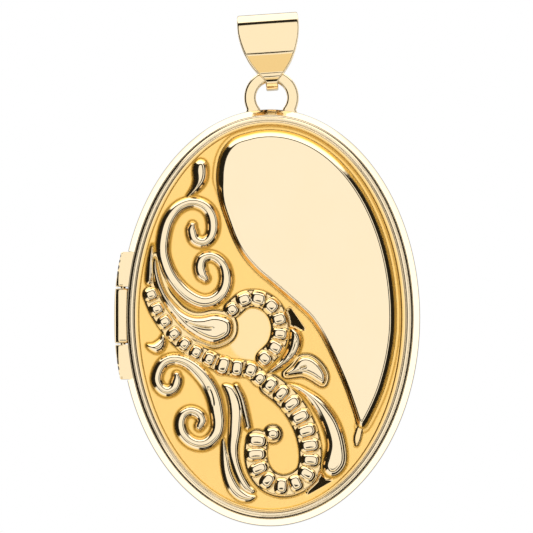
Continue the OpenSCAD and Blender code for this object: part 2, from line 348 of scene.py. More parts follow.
def nearest(x: Array, z: Array, path: Array, closed: bool = False) -> tuple[Array, Array]:
    """Finds each point's nearest place on a path.

    Args:
        x: The points' x.
        z: The points' z.
        path: The path's points; only the first two values place it.
        closed: True where the last point meets the first.

    Returns:
        The distance, and the place along the path counted in its points.
    """
    best = np.full(x.shape, np.inf)
    place = np.zeros(x.shape)
    ends = np.roll(path, -1, axis=0) if closed else path[1:]
    for i, (a, b) in enumerate(zip(path, ends)):
        dx, dz = b[0] - a[0], b[1] - a[1]
        t = np.clip(((x - a[0]) * dx + (z - a[1]) * dz) / (dx * dx + dz * dz + 1e-12), 0, 1)
        gap = np.hypot(x - a[0] - t * dx, z - a[1] - t * dz)
        closer = gap < best
        best = np.where(closer, gap, best)
        place = np.where(closer, i + t, place)
    return best, place


def inside(x: Array, z: Array, outline: Array) -> Array:
    """Finds which points lie within a closed outline.

    Args:
        x: The points' x.
        z: The points' z.
        outline: The outline's points.

    Returns:
        True for each point inside it.
    """
    found = np.zeros(x.shape, bool)
    for a, b in zip(outline, np.roll(outline, -1, axis=0)):
        if a[1] == b[1]:
            continue
        between = (a[1] > z) != (b[1] > z)
        crossing = a[0] + (z - a[1]) * (b[0] - a[0]) / (b[1] - a[1])
        found ^= between & (x < crossing)
    return found


def soft_step(t: Array) -> Array:
    """A smooth rise from 0 to 1."""
    t = np.clip(t, 0, 1)
    return t * t * (3 - 2 * t)


# --- The struck relief ------------------------------------------------------------------


@dataclass(frozen=True)
class Edge:
    """How a raised shape climbs from its field: fillet, flank, shoulder, then crown.

    Lengths are in millimetres from the shape's outline, slopes in rise over run.
    """

    foot: float = 0.26
    flank: float = 0.1
    turn: float = 0.1
    crown: float = 0.4
    steep: float = 1.15
    shoulder: float = 0.2
    sweep: float = 2.6

    def height(self, e: Array, reach: Array | float | None = None) -> Array:
        """Height of the shape.

        Args:
            e: Distance inside the outline, negative outside it.
            reach: Distance at which the crown levels out.

        Returns:
            The height above the field.
        """
        reach = self.crown if reach is None else reach
        fillet = np.clip(e / self.foot + 1, 0, 1) ** (self.sweep + 1)
        flank = np.clip(e, 0, self.flank)
        turn = np.clip(e - self.flank, 0, self.turn)
        run = np.maximum(reach - self.flank - self.turn, 1e-3)
        crown = np.clip(e - self.flank - self.turn, 0, run)
        return (self.steep * self.foot * fillet / (self.sweep + 1) + self.steep * flank
                + self.steep * turn - (self.steep - self.shoulder) * turn**2 / (2 * self.turn)
                + self.shoulder * (crown - crown**2 / (2 * run)))


class Relief:
    """A height map over the front's oval field, built up one raised shape at a time.

    TONE_BLEND is the width over which the tone changes at an outline, and DEEPENING the
    share of a fillet over which its colour deepens into painted shade. Field lower than
    FLAT_H counts as flat.
    """

    TONE_BLEND: ClassVar[float] = 0.08
    DEEPENING: ClassVar[float] = 0.3
    FLAT_H: ClassVar[float] = 0.01
    LINE_FADE: ClassVar[float] = 0.25
    OVAL_FADE: ClassVar[float] = 0.15
    POCKET_LIP: ClassVar[float] = 0.06
    POCKET_DEPTH: ClassVar[float] = 0.3

    def __init__(self, half_w: float, half_h: float, step: float) -> None:
        """Lays an even grid over the field.

        Args:
            half_w: Half of the field's width.
            half_h: Half of its height.
            step: The grid's spacing.
        """
        self.step = step
        self.half_w = half_w
        self.half_h = half_h
        nx, nz = math.ceil(half_w / step) + 1, math.ceil(half_h / step) + 1
        self.x = np.arange(-nx, nx + 1) * step
        self.z = np.arange(-nz, nz + 1) * step
        self.height = np.zeros((len(self.z), len(self.x)))
        self.tone = np.full(self.height.shape, Tone.SATIN.value)

    def window(self, low: Array, high: Array) -> tuple[tuple[slice, slice], Array, Array]:
        """Picks the part of the grid between two corners.

        Args:
            low: The lower left corner.
            high: The upper right corner.

        Returns:
            The part's rows and columns, and the x and z of its points.
        """
        i = slice(*np.clip(np.searchsorted(self.z, [low[1], high[1]]), 0, len(self.z)))
        j = slice(*np.clip(np.searchsorted(self.x, [low[0], high[0]]), 0, len(self.x)))
        gx, gz = np.meshgrid(self.x[j], self.z[i])
        return (i, j), gx, gz

    def lay(self, part: tuple[slice, slice], e: Array, edge: Edge,
            reach: Array | float | None = None, tone: Tone = Tone.POLISHED_HIGHLIGHT,
            base: float = 0.0) -> None:
        """Raises one shape where it stands above what is there.

        Args:
            part: The part of the grid that it covers.
            e: Distance inside its outline over that part.
            edge: Its section.
            reach: Where its crown levels out.
            tone: The tone of its crown, which sets its polish and paints highlight or shade into its
                colour.
            base: Height that it stands on.
        """
        rise = edge.height(e, reach)
        risen = np.where(rise > 0, rise + base * soft_step((e + edge.foot) / edge.foot), 0)
        old = self.height[part]
        # Painted shade: over most of the fillet at a shape's foot, the colour deepens to the recess
        # tone.
        fillet = Tone.SATIN.value + (Tone.RECESS_SHADE.value - Tone.SATIN.value) * (
            soft_step((e + edge.foot) / (self.DEEPENING * edge.foot)))
        on_crown = soft_step(e / self.TONE_BLEND + 0.5)
        made = fillet * (1 - on_crown) + tone.value * on_crown
        wins = risen > old + 1e-6
        self.tone[part] = np.where(wins, made, self.tone[part])
        self.height[part] = np.where(wins, risen, old)

    def rib(self, points: tuple, edge: Edge, tone: Tone = Tone.POLISHED_HIGHLIGHT) -> None:
        """Raises a rib along a path.

        Args:
            points: (x, z, half-width) at each point.
            edge: Its section.
            tone: The tone of its crown, which sets its polish and paints highlight or shade into its
                colour.
        """
        path = smooth_path(points)
        margin = path[:, 2].max() + edge.foot
        part, x, z = self.window(path.min(0)[:2] - margin, path.max(0)[:2] + margin)
        gap, place = nearest(x, z, path)
        half = np.interp(place, np.arange(len(path)), path[:, 2])
        self.lay(part, half - gap, edge, reach=np.maximum(half, edge.flank + edge.turn + 0.02),
                 tone=tone)

    def outline_distance(self, outline: Array,
                         margin: float) -> tuple[tuple[slice, slice], Array, Array]:
        """Distance inside a closed outline, over the part of the grid round it.

        Args:
            outline: The outline's points.
            margin: How far beyond it to reach.

        Returns:
            The part of the grid, the distance, and the nearest place on the outline.
        """
        part, x, z = self.window(outline.min(0) - margin, outline.max(0) + margin)
        gap, place = nearest(x, z, outline, closed=True)
        return part, np.where(inside(x, z, outline), gap, -gap), place

    def leaf(self, points: tuple, edge: Edge, skirt: float = 0.0) -> None:
        """Raises a leaf with a closed outline.

        Args:
            points: (x, z) points round it.
            edge: Its section.
            skirt: Width of the low terrace round its foot.
        """
        outline = smooth_path(points, 5, closed=True)
        part, e, _ = self.outline_distance(outline, edge.foot + skirt + 0.2)
        if skirt:
            self.lay(part, e + skirt, TERRACE, tone=Tone.MELLOW)
        self.lay(part, e, edge, base=TERRACE_RISE if skirt else 0.0)

    def band(self, points: tuple, half: float) -> None:
        """Raises the low band that a row of beads stands on.

        Args:
            points: (x, z) points along its middle.
            half: Half of its width.
        """
        path = smooth_path(points, 4)
        margin = half + TERRACE.foot
        part, x, z = self.window(path.min(0)[:2] - margin, path.max(0)[:2] + margin)
        gap, _ = nearest(x, z, path)
        self.lay(part, half - gap, TERRACE, tone=Tone.MELLOW)

    def bead(self, at: Point, along: float, across: float, turn: float, edge: Edge,
             base: float, power: float = 3.0) -> None:
        """Raises one pebble-shaped bead.

        Args:
            at: Its middle.
            along: Half of its length along the row.
            across: Half of its width across the row.
            turn: Direction of the row, in radians.
            edge: Its section.
            base: Height that it stands on.
            power: 2 gives an ellipse, more gives squarer corners.
        """
        margin = max(along, across) + edge.foot
        part, x, z = self.window(np.array(at) - margin, np.array(at) + margin)
        u = (x - at[0]) * math.cos(turn) + (z - at[1]) * math.sin(turn)
        v = (z - at[1]) * math.cos(turn) - (x - at[0]) * math.sin(turn)
        ring = (np.abs(u / along) ** power + np.abs(v / across) ** power) ** (1 / power)
        small = min(along, across)
        self.lay(part, (1 - ring) * small, edge, reach=small, base=base)

    def engrave(self, points: tuple, depth: float, half: float) -> None:
        """Cuts a fine line that fades out at its ends.

        Args:
            points: (x, z) points along it.
            depth: Its depth.
            half: Half of its width.
        """
        path = smooth_path(points)
        margin = 3 * half
        part, x, z = self.window(path.min(0)[:2] - margin, path.max(0)[:2] + margin)
        gap, place = nearest(x, z, path)
        fade = soft_step(np.minimum(place, len(path) - 1 - place) / (self.LINE_FADE * len(path)))
        self.height[part] -= depth * fade * np.exp(-((gap / half) ** 2))

    def burnish_and_highlight(self, at: Point, half: Point) -> None:
        """Leaves an oval of the flat field smoother than the rest, and paler as a painted highlight.

        Args:
            at: The oval's middle.
            half: Half of its width and of its height.
        """
        part, x, z = self.window(np.array(at) - np.array(half), np.array(at) + np.array(half))
        ring = np.hypot((x - at[0]) / half[0], (z - at[1]) / half[1])
        share = soft_step((1 - ring) / self.OVAL_FADE)
        flat = self.height[part] < self.FLAT_H
        self.tone[part] -= np.where(flat, share * (Tone.SATIN.value - Tone.MELLOW.value), 0)

    def pocket(self, corners: tuple, slope: float) -> None:
        """Sinks a burnished facet into the flat field, clear of the raised shapes.

        Args:
            corners: Its outline; the facet falls away from the first edge.
            slope: How steeply it falls.
        """
        outline = np.array(corners)
        part, e, _ = self.outline_distance(outline, 0.1)
        gx, gz = np.meshgrid(self.x[part[1]], self.z[part[0]])
        a, run = outline[0], outline[1] - outline[0]
        across = np.array([-run[1], run[0]]) / np.linalg.norm(run)
        fall = np.abs((gx - a[0]) * across[0] + (gz - a[1]) * across[1])
        share = soft_step(e / self.POCKET_LIP) * (self.height[part] < 2 * self.FLAT_H)
        self.height[part] -= share * np.minimum(slope * fall, self.POCKET_DEPTH)
        # The facet takes the half-burnished tone: smoother, and paler with part of a painted
        # highlight.
        self.tone[part] = np.where(share > 0.5, Tone.MELLOW.value, self.tone[part])

    def soften(self, reach: float) -> None:
        """Rounds every crease a little, as a die-struck sheet is.

        Args:
            reach: Radius of the rounding, in millimetres.
        """
        count = max(1, round(reach / self.step))
        weight = np.exp(-0.5 * (np.arange(-2 * count, 2 * count + 1) / (0.8 * count)) ** 2)
        weight /= weight.sum()
        for grid in (self.height, self.tone):
            for axis in (0, 1):
                grid[:] = np.apply_along_axis(np.convolve, axis, grid, weight, mode="same")


TERRACE_RISE = 0.1
BEAD_RISE = TERRACE_RISE + 0.04
TERRACE = Edge(foot=0.12, flank=0.02, turn=0.05, crown=0.12, steep=0.9, shoulder=0.12)
STEP = Edge(foot=0.14, flank=0.02, turn=0.05, crown=0.1, steep=0.34, shoulder=0.05)
RIB_EDGE = Edge()
LEAF_EDGE = Edge(flank=0.07, turn=0.27, crown=0.55)
PLUME_EDGE = Edge(foot=0.16, flank=0.05, turn=0.12, crown=0.45)
PANEL_EDGE = Edge(foot=0.34, flank=0.22, turn=0.12, crown=0.46, steep=0.84, shoulder=0.2)
BEAD_EDGE = Edge(foot=0.08, flank=0.04, turn=0.09, steep=1.15, shoulder=0.2)


@dataclass(frozen=True)
class Bead:
    """One bead of a row: its middle and its half-sizes along and across the row."""

    x: float
    z: float
    along: float = 0.37
    across: float = 0.37


@dataclass(frozen=True)
class Ornament:
    """The struck ornament of the front, in millimetres from the case's middle.

    Outlines are (x, z) points in order, and ribs have their half-width as a third value.
    crisp_side is the stretch of the panel's outline, counted in its points, where the edge
    is narrower by crispness, and crisp_fade the curve's steps over which it gets so. lines
    are the engraved veins, and line_cut their depth and half-width.
    """

    PANEL_SPANS: ClassVar[int] = 5

    panel: tuple = (
        (-2.3, 13.7), (-2.8, 13.45), (-3.3, 12.95), (-3.65, 12.3), (-3.85, 11.5), (-3.92, 10.6),
        (-3.85, 9.7), (-3.65, 8.6), (-3.25, 7.4), (-2.7, 5.95), (-2, 4.7), (-1, 3.55),
        (0, 2.7), (1, 1.85), (2.2, 0.8), (3, 0.05), (3.52, -0.62), (4.02, -1.42), (4.55, -2.45),
        (5.15, -3.75),
        (5.8, -5.3), (6.3, -6.7), (6.6, -7.6), (6.78, -8.2), (7.02, -8.38), (7.28, -8.15),
        (7.88, -7), (8.45, -5.65), (8.82, -4.45), (9.1, -3.3), (9.3, -2.2),
    )
    panel_half: Point = (9.45, 14.1)
    panel_arc_deg: Point = (-5.0, 98.0)
    crisp_side: Point = (5.0, 23.4)
    crisp_fade: Point = (14.0, 8.0)
    crispness: float = 1.6
    panel_skirt: float = 0.42
    upper_scroll: tuple = (
        (-5.95, 7.0, 0.25), (-5.98, 6.6, 0.38), (-5.75, 5.9, 0.38), (-5.1, 5.68, 0.36),
        (-4.55, 6.1, 0.38), (-4.35, 6.9, 0.42), (-4.5, 7.8, 0.42), (-5.0, 8.45, 0.4),
        (-5.8, 8.75, 0.38), (-6.6, 8.6, 0.38), (-7.3, 8.1, 0.4), (-7.85, 7.2, 0.42),
        (-8.15, 6, 0.43), (-8.2, 4.9, 0.44), (-7.95, 3.9, 0.45), (-7.55, 3.05, 0.46),
        (-6.95, 2.25, 0.48), (-6.3, 1.65, 0.5), (-5.6, 1.25, 0.5), (-4.95, 1.12, 0.48),
        (-4.25, 1.32, 0.46), (-3.7, 1.8, 0.45), (-3.4, 2.45, 0.44), (-3.35, 3.15, 0.42),
        (-3.55, 3.9, 0.38), (-4.05, 4.45, 0.34), (-4.65, 4.65, 0.34), (-5.2, 4.4, 0.38),
        (-5.35, 3.8, 0.43), (-5.2, 3.25, 0.42), (-4.95, 2.95, 0.3),
    )
    lower_scroll: tuple = (
        (-7.15, -4.45, 0.25), (-7.12, -4.85, 0.38), (-7.35, -5.45, 0.38), (-7.9, -5.7, 0.36),
        (-8.4, -5.4, 0.36), (-8.66, -4.8, 0.36), (-8.52, -4.1, 0.36), (-8.1, -3.5, 0.38),
        (-7.45, -3.25, 0.38), (-6.75, -3.35, 0.4), (-6.1, -3.68, 0.42), (-5.5, -4.2, 0.46),
        (-4.95, -4.85, 0.48), (-4.5, -5.6, 0.5), (-4.2, -6.4, 0.5), (-4.05, -7.2, 0.5),
        (-3.95, -8, 0.48), (-4.05, -8.75, 0.46), (-4.45, -9.35, 0.44), (-5, -9.7, 0.42),
        (-5.65, -9.7, 0.4), (-6.25, -9.4, 0.4), (-6.7, -8.85, 0.4), (-6.85, -8.15, 0.38),
        (-6.65, -7.5, 0.36), (-6.1, -7.2, 0.34), (-5.5, -7.4, 0.34), (-5.2, -7.9, 0.36),
        (-5.4, -8.35, 0.3),
    )
    paisley: tuple = (
        (-8.8, 4.5), (-8.95, 3.6), (-8.75, 2.5), (-8.4, 1.7), (-7.95, 0.85), (-7.4, 0.1),
        (-6.75, -0.65), (-6, -1.25), (-5.2, -1.72), (-4.3, -2), (-3.6, -1.8), (-3.1, -1.45),
        (-2.92, -0.95), (-3.02, -0.35), (-3.5, -0.02), (-4.3, 0.12), (-5.2, -0.05),
        (-6, 0), (-6.8, 0.42), (-7.4, 1.02), (-8, 1.8), (-8.4, 2.8), (-8.65, 3.8),
    )
    paisley_skirt: float = 0.42
    stem: tuple = ((-9.0, 5.5), (-9.32, 4.2), (-9.45, 2.75), (-9.2, 2.5), (-8.95, 3), (-8.98, 4.2))
    tear: tuple = (
        (-5.3, 12), (-5.72, 11.75), (-5.85, 11.2), (-5.8, 10.5), (-5.95, 9.9), (-6.35, 9.2),
        (-6.05, 9.3), (-5.5, 9.65), (-5.02, 10.2), (-4.82, 10.9), (-4.9, 11.7),
    )
    comma: tuple = (
        (-8.15, -1.35), (-8.45, -1.75), (-8.95, -2.1), (-9.4, -2.15), (-9.15, -2.5),
        (-8.65, -2.72), (-8.2, -2.5), (-8, -2),
    )
    plume: tuple = (
        (-3.6, -5.2), (-3.3, -6.1), (-3.12, -7.2), (-3.15, -8.8), (-3.22, -10.2), (-3, -11.2),
        (-2.6, -12.3), (-2.1, -13.15), (-1.45, -13.5), (-1.15, -13.3), (-1.6, -12.8),
        (-2.1, -11.9), (-2.4, -10.9), (-2.45, -9.9), (-2.25, -8.7), (-2.2, -6.8), (-2.8, -5.4),
    )
    plume_lobe: tuple = (
        (-3.62, -9.2), (-3.75, -10.6), (-3.62, -12), (-3.2, -13.2), (-2.45, -13.95),
        (-1.6, -14.1), (-1.1, -13.7), (-1.7, -13.5), (-2.4, -12.9), (-2.95, -11.8),
        (-3.2, -10.6),
    )
    stroke: tuple = ((-2.6, -5.3, 0.14), (-2.2, -6.2, 0.2), (-1.95, -7.2, 0.22), (-1.68, -8.4, 0.2))
    crescent: tuple = (
        (1.6, -0.95), (1.95, -1), (2.3, -1.45), (2.33, -2.15), (2.0, -2.9), (1.4, -3.5),
        (0.7, -3.95), (-0.2, -4.35), (0.35, -3.75), (0.95, -3.15), (1.32, -2.5),
        (1.5, -1.75),
    )
    upper_leaf: tuple = (
        (1.2, -4.42), (1.75, -3.85), (2.3, -3.2), (2.9, -3.12), (3.45, -3.4), (3.95, -3.95),
        (4.2, -4.55), (4.05, -5.08), (3.65, -4.9), (3.1, -4.55), (2.4, -4.32),
    )
    upper_leaf_skirt: float = 0.3
    lower_leaf: tuple = (
        (1.35, -5.15), (2.2, -5.3), (3.1, -5.75), (3.9, -6.3), (4.6, -7.1), (5.2, -8.05),
        (5.6, -9.2), (5.8, -10.4), (5.75, -11.2), (5.4, -11.8), (4.9, -12.12), (4.35, -12),
        (4.05, -11.4), (4.25, -10.6), (4.4, -9.7), (4.1, -8.5), (3.6, -7.4), (2.8, -6.2),
        (2, -5.5),
    )
    bead_row: tuple = (
        Bead(-9.1, 1.7), Bead(-8.65, 0.6), Bead(-8.05, -0.38), Bead(-7.35, -1.3),
        Bead(-6.55, -2.08), Bead(-5.65, -2.7), Bead(-4.65, -3.2), Bead(-3.6, -3.72, 0.42, 0.55),
        Bead(-2.55, -3.92, 0.4, 0.5), Bead(-1.5, -4.05, 0.42, 0.45), Bead(-0.8, -4.7, 0.36, 0.36),
    )
    bead_loop: tuple = (
        Bead(-2.9, 0.55, 0.4, 0.36), Bead(-1.98, 1.3, 0.48, 0.38), Bead(-0.9, 1.38, 0.5, 0.38),
        Bead(0.1, 0.82, 0.46, 0.4), Bead(0.68, -0.18, 0.42, 0.45), Bead(0.75, -1.3, 0.38, 0.45),
        Bead(0.38, -2.35, 0.42, 0.44), Bead(-0.42, -3.18, 0.42, 0.42),
    )
    chain: tuple = (
        Bead(0, -5.2, 0.4, 0.45), Bead(0.85, -5.85, 0.38, 0.5), Bead(1.62, -6.65, 0.4, 0.58),
        Bead(2.28, -7.65, 0.42, 0.6), Bead(2.75, -8.72, 0.42, 0.58), Bead(3.02, -9.82, 0.42, 0.56),
        Bead(3.08, -10.95, 0.4, 0.52), Bead(2.8, -12, 0.4, 0.5), Bead(1.95, -12.7, 0.4, 0.46),
        Bead(0.85, -12.92, 0.4, 0.46), Bead(-0.2, -12.5, 0.4, 0.48), Bead(-0.88, -11.6, 0.38, 0.55),
        Bead(-1.1, -10.5, 0.4, 0.6), Bead(-1.0, -9.45, 0.42, 0.55),
    )
    band_halves: tuple[float, float, float] = (0.62, 0.66, 0.85)
    bead_swell: Point = (0.05, 0.1)
    end_ball: Bead = Bead(0.2, -8.95, 0.48, 0.42)
    ball_band_half: float = 0.72
    ball_power: float = 2.2
    tip_tail: tuple = ((6.98, -8.0, 0.12), (6.8, -8.7, 0.24), (6.66, -9.3, 0.26), (6.6, -9.75, 0.14))
    lines: tuple = (
        ((-6.7, -0.2), (-6, -0.62), (-5.3, -0.85), (-4.7, -0.93), (-4.1, -0.92)),
        ((1.97, -1.5), (1.92, -2.2), (1.6, -2.85), (1.1, -3.4)),
        ((-4.75, -5.3), (-4.45, -6.1), (-4.3, -7)),
        ((2.2, -4.02), (2.5, -3.92), (2.85, -3.85)),
    )
    pale_oval: tuple = ((-1.5, -1.2), (1.9, 2.3))
    line_cut: Point = (0.055, 0.095)
    softening: float = 0.05
    pocket_slope: float = 0.34
    pockets: tuple = (
        ((1.55, 0.8), (2.8, -1.05), (2.25, -1.05), (1.4, -0.75), (0.95, 0.25)),
        ((4.95, -12.45), (2.65, -13.75), (2.85, -13.15), (3.55, -12.5), (3.75, -11.6), (4.2, -12.3)),
    )

    def row_turn(self, row: tuple, i: int) -> float:
        """Direction of a row of beads at one of them, in radians."""
        a, b = row[max(i - 1, 0)], row[min(i + 1, len(row) - 1)]
        return math.atan2(b.z - a.z, b.x - a.x)

    def panel_outline(self) -> Array:
        """The raised panel's outline: its winding side, then an arc of the oval.

        Returns:
            The outline's points.
        """
        side = smooth_path(self.panel, self.PANEL_SPANS)
        arc = np.radians(np.linspace(*self.panel_arc_deg, 60))
        return np.concatenate([side, np.stack(
            [self.panel_half[0] * np.cos(arc), self.panel_half[1] * np.sin(arc)], axis=1)])

    def strike_panel(self, relief: Relief) -> None:
        """Raises the panel on its low step, with a crisper edge along its winding side.

        Args:
            relief: The height map to work on.
        """
        part, e, place = relief.outline_distance(self.panel_outline(), 2 * self.panel_skirt)
        start, end = (self.PANEL_SPANS * i for i in self.crisp_side)
        crisp = (soft_step((place - start) / self.crisp_fade[0])
                 * soft_step((end - place) / self.crisp_fade[1]))
        e = e * (1 + self.crispness * crisp)
        relief.lay(part, e + self.panel_skirt, STEP, tone=Tone.SATIN)
        relief.lay(part, e, PANEL_EDGE, base=TERRACE_RISE)
        relief.rib(self.tip_tail, TERRACE, Tone.MELLOW)

    def strike_leaves(self, relief: Relief) -> None:
        """Raises the scrolls, the stroke and the leaves.

        Args:
            relief: The height map to work on.
        """
        for points in (self.upper_scroll, self.lower_scroll, self.stroke):
            relief.rib(points, RIB_EDGE)
        relief.leaf(self.paisley, LEAF_EDGE, skirt=self.paisley_skirt)
        for points in (self.stem, self.tear, self.comma, self.crescent, self.lower_leaf):
            relief.leaf(points, LEAF_EDGE)
        for points in (self.plume_lobe, self.plume):
            relief.leaf(points, PLUME_EDGE)
        relief.leaf(self.upper_leaf, PLUME_EDGE, skirt=self.upper_leaf_skirt)

    def strike_beads(self, relief: Relief, rows: tuple) -> None:
        """Raises the rows of beads and the ball that ends the chain.

        Args:
            relief: The height map to work on.
            rows: The rows of beads.
        """
        grow, spread = self.bead_swell
        for row in rows:
            for i, b in enumerate(row):
                relief.bead((b.x, b.z), b.along + grow, b.across + spread,
                            self.row_turn(row, i), BEAD_EDGE, BEAD_RISE)
        ball = self.end_ball
        relief.bead((ball.x, ball.z), ball.along, ball.across, 0.0, BEAD_EDGE, BEAD_RISE,
                    power=self.ball_power)

    def strike(self, relief: Relief) -> None:
        """Raises the whole ornament on a relief.

        Args:
            relief: The height map to work on.
        """
        rows = (self.bead_row, self.bead_loop, self.chain)
        for row, half in zip(rows, self.band_halves):
            relief.band(tuple((b.x, b.z) for b in row), half)
        ball = self.end_ball
        relief.band(((ball.x, ball.z), (ball.x + 0.01, ball.z)), self.ball_band_half)
        self.strike_panel(relief)
        self.strike_leaves(relief)
        self.strike_beads(relief, rows)
        relief.burnish_and_highlight(*self.pale_oval)
        for corners in self.pockets:
            relief.pocket(corners, self.pocket_slope)
        relief.soften(self.softening)
        for points in self.lines:
            relief.engrave(points, *self.line_cut)


# --- Finishes ---------------------------------------------------------------------------


def new_group(name: str, ins: list, outs: list) -> bpy.types.NodeTree:
    """Makes an empty shader node group with named sockets.

    Args:
        name: The group's name.
        ins: (name, socket type, default) for each input.
        outs: (name, socket type) for each output.

    Returns:
        The group, with its input and output nodes added.
    """
    tree = bpy.data.node_groups.new(name, "ShaderNodeTree")
    for label, kind, default in ins:
        socket = tree.interface.new_socket(label, in_out="INPUT", socket_type=kind)
        socket.default_value = default
    for label, kind in outs:
        tree.interface.new_socket(label, in_out="OUTPUT", socket_type=kind)
    tree.nodes.new("NodeGroupInput")
    tree.nodes.new("NodeGroupOutput")
    return tree


class Graph:
    """Short calls for adding and joining shader nodes in one tree."""

    def __init__(self, tree: bpy.types.NodeTree) -> None:
        """Works on the given node tree."""
        self.tree = tree

    def add(self, kind: str, values: dict | None = None, **settings: object) -> bpy.types.Node:
        """Adds a node.

        Args:
            kind: Its type, without the leading ShaderNode.
            values: Defaults or incoming sockets, by input name or number.
            settings: Its own properties.

        Returns:
            The node.
        """
        node = self.tree.nodes.new("ShaderNode" + kind)
        for key, value in settings.items():
            setattr(node, key, value)
        self.feed(node, values or {})
        return node

    def feed(self, node: bpy.types.Node, values: dict) -> None:
        """Sets or joins a node's inputs.

        Args:
            node: The node.
            values: Defaults or incoming sockets, by input name or number.
        """
        for key, value in values.items():
            if isinstance(value, bpy.types.NodeSocket):
                self.tree.links.new(value, node.inputs[key])
            else:
                node.inputs[key].default_value = value

    def math(self, operation: str, a: object, b: object = 0.0) -> bpy.types.NodeSocket:
        """Adds a math node and returns its result."""
        return self.add("Math", {0: a, 1: b}, operation=operation).outputs[0]

    def mix(self, share: object, a: object, b: object) -> bpy.types.NodeSocket:
        """Mixes two colours and returns the result."""
        node = self.add("Mix", {MIX_SHARE: share, MIX_A: a, MIX_B: b}, data_type="RGBA")
        return node.outputs[MIX_RESULT]

    def within(self, value: object, span: Point, soft: float) -> bpy.types.NodeSocket:
        """Puts out 1 where a value lies in a span, fading to 0 over a soft edge.

        Args:
            value: The value's socket.
            span: The span's two ends.
            soft: Width of the fade, centred on each end.

        Returns:
            The mask.
        """
        half = soft / 2
        low = self.add("MapRange", {0: value, 1: span[0] - half, 2: span[0] + half},
                       interpolation_type="SMOOTHSTEP")
        high = self.add("MapRange", {0: value, 1: span[1] + half, 2: span[1] - half},
                        interpolation_type="SMOOTHSTEP")
        return self.math("MULTIPLY", low.outputs[0], high.outputs[0])

    def ramp(self, share: object, stops: list) -> bpy.types.NodeSocket:
        """Runs a value through grey stops.

        Args:
            share: The value's socket.
            stops: (place, level) for each stop.

        Returns:
            The level.
        """
        node = self.add("ValToRGB", {0: share})
        elements = node.color_ramp.elements
        while len(elements) < len(stops):
            elements.new(0.5)
        for element, (place, level) in zip(elements, stops):
            element.position = place
            element.color = (level, level, level, 1)
        return node.outputs[0]


def rgba(colour: Colour) -> tuple[float, float, float, float]:
    """A colour with full alpha."""
    return (*colour, 1.0)


def new_finish(name: str) -> tuple[bpy.types.Material, Graph, bpy.types.Node]:
    """Makes a material that holds nothing but its shader.

    Args:
        name: The material's name.

    Returns:
        The material, the calls that add nodes to it, and its Principled shader.
    """
    made = bpy.data.materials.new(name)
    made.use_nodes = True
    return made, Graph(made.node_tree), made.node_tree.nodes["Principled BSDF"]


class WearGroup:
    """Fine wear on metal: hair scratches, a cloudy bloom and a grain for satin ground."""

    NAME: ClassVar[str] = "fine wear"

    @classmethod
    def tree(cls) -> bpy.types.NodeTree:
        """Builds the group at its first use.

        Returns:
            The group, with Roughness, Height and Bloom outputs.
        """
        found = bpy.data.node_groups.get(cls.NAME)
        if found:
            return found
        tree = new_group(
            cls.NAME,
            [("Satin", "NodeSocketFloat", 0.0), ("Polish", "NodeSocketFloat", 0.08),
             ("Ground", "NodeSocketFloat", 0.4), ("Scratches", "NodeSocketFloat", 0.2)],
            [("Roughness", "NodeSocketFloat"), ("Height", "NodeSocketFloat"),
             ("Bloom", "NodeSocketFloat")],
        )
        graph = Graph(tree)
        source, sink = tree.nodes[0], tree.nodes[1]
        place = graph.add("TexCoord").outputs["Object"]
        long = graph.add("Mapping", {0: place, 2: (0.3, 0.2, 0.9), 3: (9000, 9000, 500)})
        hair = graph.add("TexNoise", {0: long.outputs[0], "Scale": 1.0, "Detail": 3.0})
        cloud = graph.add("TexNoise", {0: place, "Scale": 260.0, "Detail": 4.0})
        grain = graph.add("TexNoise", {0: place, "Scale": 9000.0, "Detail": 2.0})
        lines = graph.ramp(hair.outputs[0], [(0.55, 0.0), (0.72, 1.0)])
        rough = graph.add("Mix", {0: source.outputs["Satin"], 2: source.outputs["Polish"],
                                  3: source.outputs["Ground"]})
        worn = graph.math("MULTIPLY", lines, source.outputs["Scratches"])
        patch = graph.math("MULTIPLY", graph.math("SUBTRACT", cloud.outputs[0], 0.5), 0.06)
        total = graph.math("ADD", graph.math("ADD", rough.outputs[0], patch),
                           graph.math("MULTIPLY", worn, 0.12))
        ground = graph.math("MULTIPLY", grain.outputs[0], source.outputs["Satin"])
        height = graph.math("SUBTRACT", ground, graph.math("MULTIPLY", worn, 0.35))
        graph.feed(sink, {"Roughness": total, "Height": height, "Bloom": cloud.outputs[0]})
        return tree

    @classmethod
    def place(cls, graph: Graph, values: dict) -> bpy.types.Node:
        """Adds the group to a material's nodes.

        Args:
            graph: The material's nodes.
            values: The group's inputs, by name.

        Returns:
            The group's node.
        """
        node = graph.add("Group", node_tree=cls.tree())
        graph.feed(node, values)
        return node


